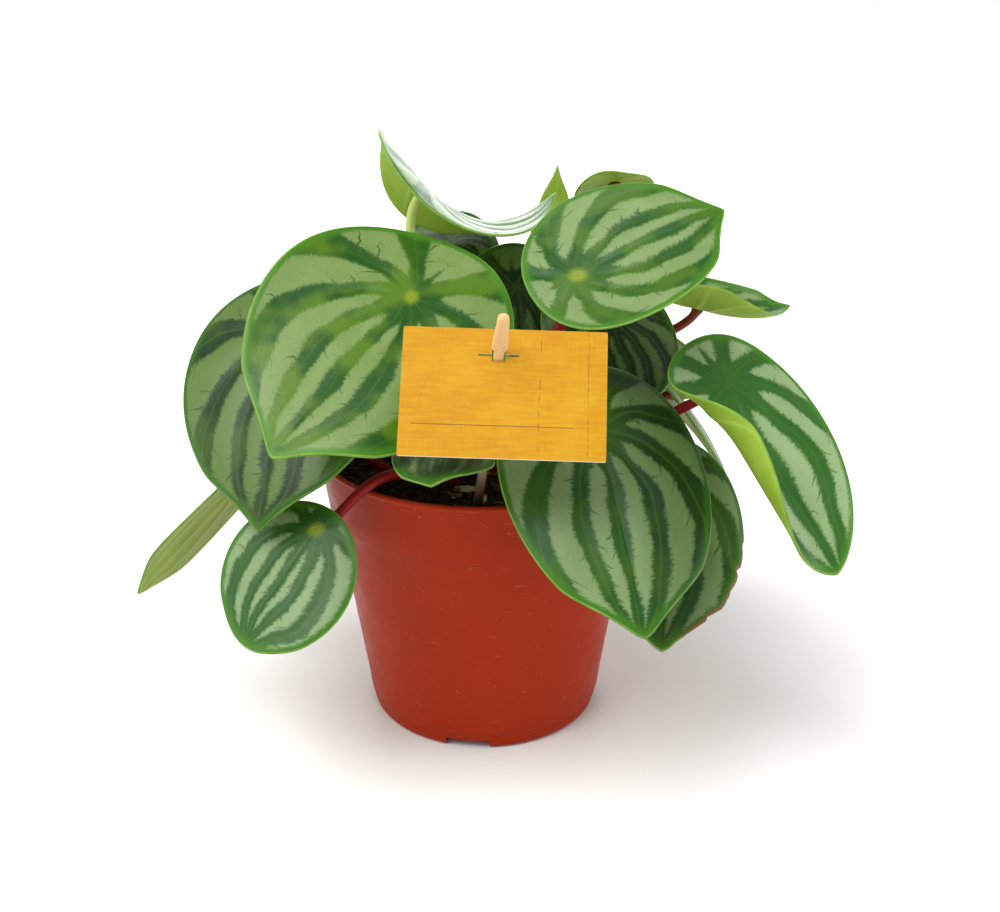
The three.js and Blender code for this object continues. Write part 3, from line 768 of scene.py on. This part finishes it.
def eased(x, y):
    """A point of the card's outline, drawn in where it lies in a corner."""
    corner_x, corner_y = CARD_WIDTH / 2 - CARD_CORNER, CARD_HEIGHT / 2 - CARD_CORNER
    over_x, over_y = abs(x) - corner_x, abs(y) - corner_y
    if over_x > 0 and over_y > 0:
        scale = max(over_x, over_y) / math.hypot(over_x, over_y)
        return math.copysign(corner_x + over_x * scale, x), math.copysign(corner_y + over_y * scale, y)
    return x, y


def snap(lines, place):
    lines[np.abs(lines - place).argmin()] = place


def card(materials):
    """A thin sheet with eased edges, a slot, and a faint warp."""
    xs = np.linspace(-CARD_WIDTH / 2, CARD_WIDTH / 2, CARD_COLUMNS + 1)
    ys = np.linspace(-CARD_HEIGHT / 2, CARD_HEIGHT / 2, CARD_ROWS + 1)
    for wide, tall in SLOT_GAPS:
        for side in (-1, 1):
            snap(xs, SLOT_ACROSS + side * wide / 2)
            snap(ys, SLOT_UP + side * tall / 2)
    points, faces, kinds, index = [], [], [], {}
    for side in (1, -1):
        for j, row in enumerate(ys):
            for i, column in enumerate(xs):
                x, y = eased(column, row)
                warp = CARD_WARP * math.sin(x * WARP_ACROSS + WARP_SHIFT) * math.cos(y * WARP_UP)
                index[side, i, j] = len(points)
                points.append((x, y, side * CARD_THICKNESS / 2 + warp))

    def kept(i, j):
        if not (0 <= i < CARD_COLUMNS and 0 <= j < CARD_ROWS):
            return False
        across, up = abs((xs[i] + xs[i + 1]) / 2 - SLOT_ACROSS), abs((ys[j] + ys[j + 1]) / 2 - SLOT_UP)
        return not any(across < wide / 2 and up < tall / 2 for wide, tall in SLOT_GAPS)

    for j in range(CARD_ROWS):
        for i in range(CARD_COLUMNS):
            if not kept(i, j):
                continue
            ring = [(i, j), (i + 1, j), (i + 1, j + 1), (i, j + 1)]
            faces.append([index[1, *corner] for corner in ring])
            faces.append([index[-1, *corner] for corner in reversed(ring)])
            kinds += [0, 1]
            beside = [(i, j - 1), (i + 1, j), (i, j + 1), (i - 1, j)]
            for cell, a, b in zip(beside, ring, ring[1:] + ring[:1]):
                if not kept(*cell):
                    faces.append([index[1, *b], index[1, *a], index[-1, *a], index[-1, *b]])
                    kinds.append(1)
    flat = np.array(points)
    lean = Matrix.Rotation(math.radians(90 - CARD_LEAN), 3, "X")
    turn = np.array(lean @ Matrix.Rotation(math.radians(CARD_TILT), 3, "Z"))
    piece = make_piece(
        "card_sheet", flat @ turn.T + np.array(CARD_CENTRE), faces, materials, ["plant_card"],
        kinds, {"sheet": flat},
    )
    piece.data.set_sharp_from_angle(angle=math.radians(CARD_SHARP))


def peg(material):
    """A flat stick with a round head and a worn, slightly whittled surface."""
    way = np.array(PEG_HEAD) - np.array(PEG_FOOT)
    length = np.linalg.norm(way)
    forward = way / length
    upward = unit(np.cross([1, 0, 0], forward))
    turn = np.stack([np.cross(forward, upward), forward, upward], -1)
    top = PEG_TOP_WIDTH / 2
    shoulder = PEG_SHOULDER_AT + PEG_SHOULDER_LENGTH
    along = [0, PEG_POINT_LENGTH, PEG_SHOULDER_AT, shoulder, length - top, length]
    widths = [PEG_POINT_WIDTH, *[PEG_SHANK_WIDTH] * 2, PEG_HEAD_WIDTH, *[PEG_TOP_WIDTH] * 2]
    stations = [
        0, 2, 5, PEG_POINT_LENGTH,
        *np.linspace(12, PEG_SHOULDER_AT - 0.5, 36),
        PEG_SHOULDER_AT,
        *np.linspace(PEG_SHOULDER_AT + 0.3, shoulder, 4),
        *np.linspace(shoulder + 0.3, length - top, 12),
        *(length - top * (1 - np.sin(np.linspace(0.15, math.pi / 2 - 0.12, 10)))),
    ]
    points = []
    for place in stations:
        over = max(0, place - (length - top)) / top
        wide = np.interp(place, along, widths) * math.sqrt(max(0, 1 - over ** 2))
        thick = PEG_POINT_THICK + (1 - PEG_POINT_THICK) * min(1, place / PEG_POINT_LENGTH)
        thick *= PEG_THICKNESS * (1 - over ** 2 / 2)
        for i in range(PEG_SIDES):
            angle = 2 * math.pi * (i + 0.5) / PEG_SIDES
            c, s = math.cos(angle), math.sin(angle)
            x = math.copysign(abs(c) ** PEG_WIDE_POWER, c) * wide / 2
            z = math.copysign(abs(s) ** PEG_THICK_POWER, s) * thick / 2
            wobble = PEG_WOBBLE * math.sin(place * WOBBLE_PITCH + i)
            points.append((x + wobble, place, z + wobble / 2))
    faces = [tuple(reversed(face)) for face in tube_faces(len(stations), PEG_SIDES)]
    flat = np.array(points)
    make_piece(
        "peg_stick", flat @ turn.T + np.array(PEG_FOOT), faces, [material], ["card_peg"],
        attributes={"grain": flat},
    )


# Materials

class Value:
    """What a node gives. Sums, products and the like of it are made by nodes of their own."""

    def __init__(self, tree, socket):
        self.tree = tree
        self.socket = socket

    def __add__(self, other):
        return reckon("ADD", self, other)

    def __sub__(self, other):
        return reckon("SUBTRACT", self, other)

    def __rsub__(self, other):
        return reckon("SUBTRACT", other, self)

    def __mul__(self, other):
        return reckon("MULTIPLY", self, other)

    def __truediv__(self, other):
        return reckon("DIVIDE", self, other)

    def __abs__(self):
        return reckon("ABSOLUTE", self)


def put(tree, socket, value):
    """Links a value to a socket, or sets a number or a colour on it."""
    if isinstance(value, Value):
        tree.links.new(value.socket, socket)
    elif isinstance(value, tuple):
        socket.default_value = (*value, 1)
    else:
        socket.default_value = value


def node(tree, kind, inputs, output=0, **settings):
    """What a new node gives, once its settings and inputs are filled in."""
    made = tree.nodes.new(f"ShaderNode{kind}")
    fill(made, settings)
    for name, value in inputs.items():
        put(tree, made.inputs[name], value)
    return Value(tree, made.outputs[output])


def reckon(operation, *values):
    tree = next(value.tree for value in values if isinstance(value, Value))
    return node(tree, "Math", dict(enumerate(values)), operation=operation)


def split(vector):
    x = node(vector.tree, "SeparateXYZ", {"Vector": vector})
    return [Value(x.tree, socket) for socket in x.socket.node.outputs]


def join(x, y, z):
    return node(x.tree, "CombineXYZ", {"X": x, "Y": y, "Z": z})


def step(value, low, high, to_low, to_high):
    """value eased from to_low at low to to_high at high."""
    ends = {"From Min": low, "From Max": high, "To Min": to_low, "To Max": to_high}
    return node(value.tree, "MapRange", {"Value": value, **ends}, interpolation_type="SMOOTHSTEP")


def rise(value, low, high, most=1):
    return step(value, low, high, 0, most)


def fall(value, low, high, most=1):
    return step(value, low, high, most, 0)


def noise(vector, scale, detail=2, rough=0.5, output="Fac"):
    inputs = {"Vector": vector, "Scale": scale, "Detail": detail, "Roughness": rough}
    return node(vector.tree, "TexNoise", inputs, output)


def chance(value):
    """A random number between 0 and 1, the same wherever value is the same."""
    return node(value.tree, "TexWhiteNoise", {"W": value}, "Value", noise_dimensions="1D")


def blend(share, a, b):
    """a where share is 0 and b where it is 1."""
    return node(share.tree, "Mix", {"Factor": share, 6: a, 7: b}, 2, data_type="RGBA")


class Looks:
    """One material, and the values that its nodes start from."""

    def __init__(self, name):
        self.material = bpy.data.materials.new(name)
        self.material.use_nodes = True
        self.tree = self.material.node_tree
        self.shader = next(node for node in self.tree.nodes if node.type == "BSDF_PRINCIPLED")

    def attribute(self, name, output="Vector"):
        return node(self.tree, "Attribute", {}, output, attribute_name=name)

    def number(self, name):
        return self.attribute(name, "Fac")

    def place(self):
        return node(self.tree, "TexCoord", {}, "Object")

    def set(self, name, value):
        put(self.tree, self.shader.inputs[name], value)

    def made(self, color, rough, specular=0.5, height=None, strength=1, depth=0):
        """The material, with its colour, roughness, gloss, and a bump of depth millimetres."""
        self.set("Base Color", color)
        self.set("Roughness", rough)
        self.set("Specular IOR Level", specular)
        if height is not None:
            inputs = {"Height": height, "Strength": strength, "Distance": depth * MM}
            self.set("Normal", node(self.tree, "Bump", inputs))
        return self.material


def srgb(red, green, blue):
    """A colour named as it looks on screen, from 0 to 255, as the shader's linear numbers."""
    def linear(value):
        value /= 255
        return value / 12.92 if value <= 0.04045 else ((value + 0.055) / 1.055) ** 2.4
    return linear(red), linear(green), linear(blue)


# Colours of the leaves. The bluish colours are partly the leaf's own tone and partly a painted sheen, and
# the shaded ones stand for painted shade.
WARM_SILVER = srgb(92, 118, 54)
WARM_SILVER_PALE = srgb(122, 148, 84)
COOL_SILVER = srgb(116, 144, 92)
COOL_SILVER_PALE = srgb(150, 174, 128)
SHADED_SILVER = srgb(52, 80, 24)
WARM_GREEN = srgb(28, 76, 12)
OLIVE_GREEN = srgb(76, 112, 14)
COOL_GREEN = srgb(28, 80, 20)
COOL_GREEN_PALE = srgb(50, 104, 38)
SHADED_GREEN = srgb(6, 22, 8)
MARGIN_GREEN = srgb(66, 124, 18)
SHADED_MARGIN = srgb(28, 68, 20)
PALE_EDGE = srgb(144, 176, 72)
SPOT_YELLOW = srgb(140, 154, 30)
SPOT_BROWN = srgb(134, 100, 22)
WORN_BROWN = srgb(110, 74, 38)
UNDERSIDE = [srgb(118, 152, 26), srgb(160, 188, 70)]
UNDER_SHADED = srgb(40, 62, 10)
UNDER_VEIN = srgb(180, 202, 92)

# Colours of the stalks: the two along them, and the one at the top and in the specks
RED_STALK = [srgb(104, 8, 10), srgb(150, 16, 14), srgb(124, 70, 34)]
GREEN_STALK = [srgb(160, 186, 92), srgb(192, 210, 128), srgb(184, 200, 112)]

# Colours of the pot, the soil, the card and the peg
POT_RED = [srgb(149, 34, 1), srgb(160, 43, 4)]
POT_DUST = srgb(178, 70, 44)
POT_SCRATCH = srgb(204, 116, 92)
POT_SPECK = srgb(220, 150, 124)
PEAT = [srgb(20, 13, 9), srgb(58, 40, 27)]
PEAT_CHIP = srgb(122, 88, 56)
CRUMB = [srgb(22, 14, 10), srgb(64, 42, 28)]
CRUMB_BARK = srgb(132, 96, 60)
CRUMB_PALE = srgb(196, 182, 158)
CRUMB_SHADE = srgb(24, 16, 12)
PRINT = [srgb(188, 127, 0), srgb(197, 145, 4)]
PRINT_FIBRE = srgb(172, 110, 3)
PRINT_CLOUD = srgb(206, 160, 24)
PRINT_INK = srgb(120, 76, 20)
PAPER = [srgb(214, 196, 160), srgb(238, 226, 200)]
WOOD = [srgb(214, 166, 104), srgb(238, 202, 150)]
WOOD_PORE = srgb(166, 112, 64)
# Painted shade for a stretch of the peg
WOOD_PAINTED_SHADE = srgb(44, 30, 20)

# The leaf's pattern. Widths are in mm, and a vein's wander is a share of the way to the tip.
VEIN_WANDER = 0.11
HALF_GREEN = 0.47
LEAST_GREEN = 1.8
GREEN_UNEVEN = 3
CENTRE_GREEN = 2.2
CENTRE_REACH = (0.06, 0.24)
COMB_DEPTH = 3.2
MARGIN_COMB = 3
MARGIN_WIDTH = (1.4, 2.8)
SIDE_VEIN_SLANT = 0.7
SIDE_VEIN_WANDER = 3.2
SIDE_VEIN_WIDTH = 0.45

# The card's print in mm: two cracks across and a thin rule along, and the peg's stretch darkened as
# painted shade
CRACK_AT = 24.6
HAIRLINE_AT = 10.5
CRACK_WANDER = 1.2
RULE_DOWN = 10
RULE_LEFT = 3
RULE_HALF = (23.4, 23.6)
PAINTED_SHADE_ALONG = (40, 66)


def vein_field(looks):
    """Main veins as arcs from the stalk's place to the tip. Gives the distance from the nearest vein and
    half the way between two veins in mm, the distance from the stalk in mm and as a share of the way to
    the tip, and a number of its own for each half band."""
    x, y, seed = split(looks.attribute("plan"))
    tip = split(looks.attribute("tone"))[2] * TIP_UNIT
    drift = split(noise(join(x, y, seed), 2.8, 1.5, output="Color"))
    x += (drift[0] - 0.5) * VEIN_WANDER
    y += (drift[1] - 0.5) * VEIN_WANDER
    side, ahead = abs(y), 1 - x
    turns = (reckon("ARCTAN2", side, x) + reckon("ARCTAN2", side, ahead)) / VEIN_STEP
    share = reckon("PINGPONG", turns, 0.5)
    band = reckon("FLOOR", turns * 2) + reckon("GREATER_THAN", y, 0) * 20 + seed * 11
    from_stalk = reckon("SQRT", x * x + y * y)
    from_tip = reckon("SQRT", ahead * ahead + y * y)
    spread = from_stalk * from_tip * tip * VEIN_STEP
    return share * spread, spread * 0.5, from_stalk * tip, from_stalk, band


def side_veins(vein, half, out, band):
    """Thin veins that leave the main ones aslant and run out somewhere between them."""
    wander = noise(join(out, vein, band), 0.3, 1)
    way = out - vein * SIDE_VEIN_SLANT + chance(band) * SIDE_VEIN_STEP
    way = (way + wander * SIDE_VEIN_WANDER) / SIDE_VEIN_STEP
    number = reckon("FLOOR", way) + band * 31
    reach = half * (chance(number) * 0.9 + 0.35)
    off = abs(reckon("FRACT", way) - 0.5) * SIDE_VEIN_STEP
    thick = fall(vein / reach, 0.35, 1) * SIDE_VEIN_WIDTH
    return fall(off - thick, -0.16, 0.1)


def leaf_top_looks():
    looks = Looks("leaf_top")
    vein, half, out, centre, band = vein_field(looks)
    cool_and_sheen, dark = split(looks.attribute("tone"))[:2]
    rim, spot = looks.number("rim"), looks.number("spot")
    plan = looks.attribute("plan")
    comb = noise(join(out * 1.7, vein * 0.5, band), 1, 3, 0.65) - 0.5
    patch = noise(plan, 6)
    grain = noise(plan, 110, 2, 0.7)
    branch = side_veins(vein, half, out, band)

    # Where the silver shows: away from the veins, the stalk's place and the rim
    width = reckon("MAXIMUM", half * HALF_GREEN, LEAST_GREEN) + (patch - 0.5) * GREEN_UNEVEN
    width += fall(centre, *CENTRE_REACH, CENTRE_GREEN)
    silver = rise(vein - width + comb * COMB_DEPTH, -0.6, 1)
    silver *= rise(rim + comb * MARGIN_COMB, *MARGIN_WIDTH)

    warm_silver = blend(patch, WARM_SILVER, WARM_SILVER_PALE)
    cool_silver = blend(patch, COOL_SILVER, COOL_SILVER_PALE)
    # Bluer silver, partly the leaf's own tone and partly a painted sheen
    silver_color = blend(cool_and_sheen, warm_silver, cool_silver)
    speckle = rise(grain, 0.35, 0.7, 0.5)
    silver_color = blend(speckle, silver_color, blend(cool_and_sheen, WARM_SILVER_PALE, COOL_SILVER_PALE))
    # Painted shade: the silver deepened on shaded leaves
    silver_color = blend(dark * 0.75, silver_color, SHADED_SILVER)

    olive = rise(noise(plan, 4), 0.42, 0.62)
    warm_green = blend(olive, WARM_GREEN, OLIVE_GREEN)
    # The green, bluer partly as its own tone and partly as a painted sheen, then deepened with its margin
    # as painted shade
    green = blend(cool_and_sheen, warm_green, blend(patch, COOL_GREEN, COOL_GREEN_PALE))
    green = blend(dark * 0.85, green, SHADED_GREEN)
    margin = blend(dark * 0.7, MARGIN_GREEN, SHADED_MARGIN)
    green = blend(fall(rim, 0.8, 4.2, 0.8), green, margin)

    color = blend(silver, green, silver_color)
    color = blend(branch * silver * 0.85, color, green)
    color = blend(fall(vein, 0.1, 0.7, 0.22), color, OLIVE_GREEN)
    color = blend(spot * fall(out, 0.8, 4, 0.7), color, SPOT_YELLOW)
    color = blend(spot * fall(out, 0.2, 1.2, 0.5), color, SPOT_BROWN)
    color = blend(fall(rim, 0.2, 0.6, 0.7), color, PALE_EDGE)
    color = blend(looks.number("worn") * fall(rim, 0.3, 2), color, WORN_BROWN)
    looks.set("Coat Weight", 0.06)
    looks.set("Coat Roughness", 0.2)
    rough = step(patch, 0.2, 0.8, 0.3, 0.44)
    height = grain * 0.3 + noise(plan, 30, 3) * 0.8 - branch * 0.2
    return looks.made(color, rough, specular=0.24, height=height, strength=0.55, depth=0.25)


def leaf_under_looks():
    looks = Looks("leaf_underside")
    vein = vein_field(looks)[0]
    plan = looks.attribute("plan")
    dark = split(looks.attribute("tone"))[1]
    color = blend(noise(plan, 6), *UNDERSIDE)
    # Painted shade: the underside deepened on shaded leaves
    color = blend(dark * 0.6, color, UNDER_SHADED)
    color = blend(fall(vein, 0.3, 1.1, 0.2), color, UNDER_VEIN)
    height = fall(vein, 0, 1.4) + noise(plan, 40, 3) * 0.4
    return looks.made(color, 0.5, specular=0.3, height=height, strength=0.4, depth=0.3)


def leaf_edge_looks():
    looks = Looks("leaf_edge")
    dark = split(looks.attribute("tone"))[1]
    color = blend(noise(looks.attribute("plan"), 12), MARGIN_GREEN, PALE_EDGE)
    # Painted shade: the edge deepened on shaded leaves
    color = blend(dark * 0.6, color, SHADED_MARGIN)
    color = blend(looks.number("worn"), color, WORN_BROWN)
    return looks.made(color, 0.45, specular=0.3)


def stalk_looks(name, low, high, top):
    looks = Looks(name)
    up, around, seed = split(looks.attribute("track"))
    streak = noise(join(up * 3, around * 2, seed), 3, 3)
    speck = noise(join(up * 30, around * 4, seed), 3)
    color = blend(rise(streak, 0.3, 0.7), low, high)
    color = blend(rise(speck, 0.58, 0.72, 0.35), color, top)
    color = blend(rise(up, 0.82, 1, 0.8), color, top)
    rough = step(streak, 0.2, 0.8, 0.32, 0.48)
    return looks.made(color, rough, specular=0.2, height=streak + speck * 0.5, strength=0.4, depth=0.2)


def pot_looks():
    looks = Looks("pot_terracotta_plastic")
    place = looks.place()
    x, y, z = split(place)
    scratch = rise(noise(join(x, y, z * 9), 130, 2, 0.4), 0.7, 0.76)
    speck = rise(noise(place, 900, 1, 0.3), 0.76, 0.8)
    wear = noise(place, 60, 4, 0.65)
    color = blend(noise(place, 22, 3), *POT_RED)
    color = blend(rise(wear, 0.5, 0.75) * 0.12, color, POT_DUST)
    color = blend(scratch * 0.22, color, POT_SCRATCH)
    color = blend(speck * 0.3, color, POT_SPECK)
    rough = step(wear, 0.3, 0.7, 0.34, 0.5) + scratch * 0.1
    ripple = noise(join(x, y, z * 4), 40)
    height = ripple * 0.6 + noise(place, 900) * 0.12
    return looks.made(color, rough, specular=0.1, height=height, strength=0.5, depth=0.25)


def soil_looks():
    looks = Looks("peat")
    place = looks.place()
    lump = noise(place, 260, 4, 0.7)
    chip = rise(noise(place, 700), 0.62, 0.7)
    color = blend(lump, *PEAT)
    color = blend(chip * 0.6, color, PEAT_CHIP)
    height = lump + noise(place, 1500, 3) * 0.5
    return looks.made(color, 0.95, specular=0.2, height=height, strength=0.9, depth=0.8)


def crumb_looks():
    looks = Looks("peat_crumbs")
    tint = looks.number("tint")
    grain = noise(looks.place(), 1800, 3, 0.7)
    color = blend(rise(tint, 0, 0.5), *CRUMB)
    color = blend(rise(tint, 0.5, 0.8), color, CRUMB_BARK)
    color = blend(rise(tint, 0.9, 1), color, CRUMB_PALE)
    color = blend(grain * 0.4, color, CRUMB_SHADE)
    return looks.made(color, 0.92, specular=0.2, height=grain, strength=0.8, depth=0.3)


def card_print_looks():
    """A printed board: yellow-orange wood grain with fine cracks and a thin rule under the middle."""
    looks = Looks("card_print")
    sheet = looks.attribute("sheet")
    x, y = split(sheet)[:2]
    tall_way = join(x, y * 0.1, 0)
    bands = noise(join(x * 0.12, y, 0), 0.9, 4, 0.6)
    fibre = noise(tall_way, 1.6, 4, 0.65)
    color = blend(rise(bands, 0.3, 0.7), *PRINT)
    color = blend(rise(fibre, 0.45, 0.8, 0.45), color, PRINT_FIBRE)
    color = blend(rise(noise(sheet, 0.07), 0.4, 0.7, 0.4), color, PRINT_CLOUD)
    crack_way = x + (noise(sheet, 0.25, 3) - 0.5) * CRACK_WANDER
    crack = fall(abs(crack_way - CRACK_AT), 0.08, 0.3)
    crack *= rise(noise(tall_way, 3), 0.45, 0.6)
    hairline = fall(abs(crack_way - HAIRLINE_AT), 0.05, 0.2)
    hairline *= rise(noise(sheet, 0.3, 1), 0.5, 0.6)
    rule = fall(abs(y + RULE_DOWN), 0.1, 0.22) * fall(abs(x + RULE_LEFT), *RULE_HALF)
    ink = reckon("MAXIMUM", reckon("MAXIMUM", crack, hairline), rule)
    color = blend(ink * 0.75, color, PRINT_INK)
    height = fibre + noise(sheet, 6)
    return looks.made(color, 0.55, specular=0.2, height=height, strength=0.15, depth=0.1)


def card_paper_looks():
    looks = Looks("card_paper")
    fibre = noise(looks.attribute("sheet"), 2.5, 4, 0.7)
    color = blend(fibre, *PAPER)
    return looks.made(color, 0.8, height=fibre, strength=0.3, depth=0.1)


def peg_looks():
    looks = Looks("peg_wood")
    x, y, z = split(looks.attribute("grain"))
    fibre = noise(join(x, y * 0.06, z), 2.4, 4, 0.6)
    pores = rise(noise(join(x, y * 0.2, z), 5), 0.6, 0.7)
    color = blend(fibre, *WOOD)
    color = blend(pores * 0.4, color, WOOD_PORE)
    # Painted shade: a stretch of the shank darkened
    color = blend(fall(y, *PAINTED_SHADE_ALONG, 0.92), color, WOOD_PAINTED_SHADE)
    return looks.made(color, 0.62, height=fibre + pores * 0.6, strength=0.4, depth=0.2)


# Stage, in metres

FLOOR_HALF = 30
FLOOR_SHADES = [(0.94,) * 3, (0.96,) * 3]
WORLD_STRENGTH = 0.46
KEY_PLACE = (-0.62, -0.4, 1.1)
KEY_SPREAD = 45
KEY_POWER = 2.3
BOXES_AIM = (0, 0, 0.12)

# Each soft box's name, place, width and power
SOFT_BOXES = [
    ("left", (-1.1, -0.25, 0.35), 0.9, 2),
    ("right", (1.1, -0.1, 0.3), 0.8, 4.2),
    ("front", (-0.1, -0.5, 1.1), 0.8, 4),
    ("back", (0, 1.3, 0.5), 1, 8),
]


def floor():
    mesh = bpy.data.meshes.new("floor")
    corners = FLOOR_HALF * np.array([(-1, -1, 0), (1, -1, 0), (1, 1, 0), (-1, 1, 0)])
    mesh.from_pydata(corners.tolist(), [], [(0, 1, 2, 3)])
    looks = Looks("pale_floor")
    color = blend(noise(looks.place(), 0.6, 1), *FLOOR_SHADES)
    mesh.materials.append(looks.made(color, 0.9, specular=0.2))
    add_object("floor", mesh)


def light(name, kind, place, target, power, **settings):
    data = bpy.data.lights.new(name, kind)
    data.energy = power
    fill(data, settings)
    lamp = add_object(name, data)
    lamp.location = place
    lamp.rotation_euler = (Vector(target) - Vector(place)).to_track_quat("-Z", "Y").to_euler()
    lamp.visible_camera = False


def studio():
    world = bpy.data.worlds.new("studio")
    world.use_nodes = True
    background = next(node for node in world.node_tree.nodes if node.type == "BACKGROUND")
    background.inputs["Color"].default_value = (1, 1, 1, 1)
    background.inputs["Strength"].default_value = WORLD_STRENGTH
    bpy.context.scene.world = world
    bpy.context.scene.view_settings.view_transform = "Standard"
    light("key", "SUN", KEY_PLACE, (0, 0, 0), KEY_POWER, angle=math.radians(KEY_SPREAD))
    for name, place, size, power in SOFT_BOXES:
        light(name, "AREA", place, BOXES_AIM, power, shape="DISK", size=size)


def camera():
    data = bpy.data.cameras.new("camera")
    data.lens = CAMERA_LENS
    data.sensor_width = CAMERA_SENSOR
    data.sensor_fit = "HORIZONTAL"
    data.clip_start = 0.01
    eye = add_object("camera", data)
    eye.location = Vector(np.array(CAMERA_PLACE) * MM + AXIS)
    eye.rotation_euler = (math.radians(90 - CAMERA_DOWN), 0, 0)
    bpy.context.scene.camera = eye


camera()
studio()
floor()

leaf_materials = [leaf_top_looks(), leaf_under_looks(), leaf_edge_looks()]
red_stalk = stalk_looks("stalk_red", *RED_STALK)
green_stalk = stalk_looks("stalk_green", *GREEN_STALK)
for number, leaf in enumerate(LEAVES):
    blade(leaf, number, leaf_materials)
    stalk(leaf, number, green_stalk if leaf.green_stalk else red_stalk)

pot(pot_looks())
soil(soil_looks())
crumbs(crumb_looks())
card([card_print_looks(), card_paper_looks()])
peg(peg_looks())
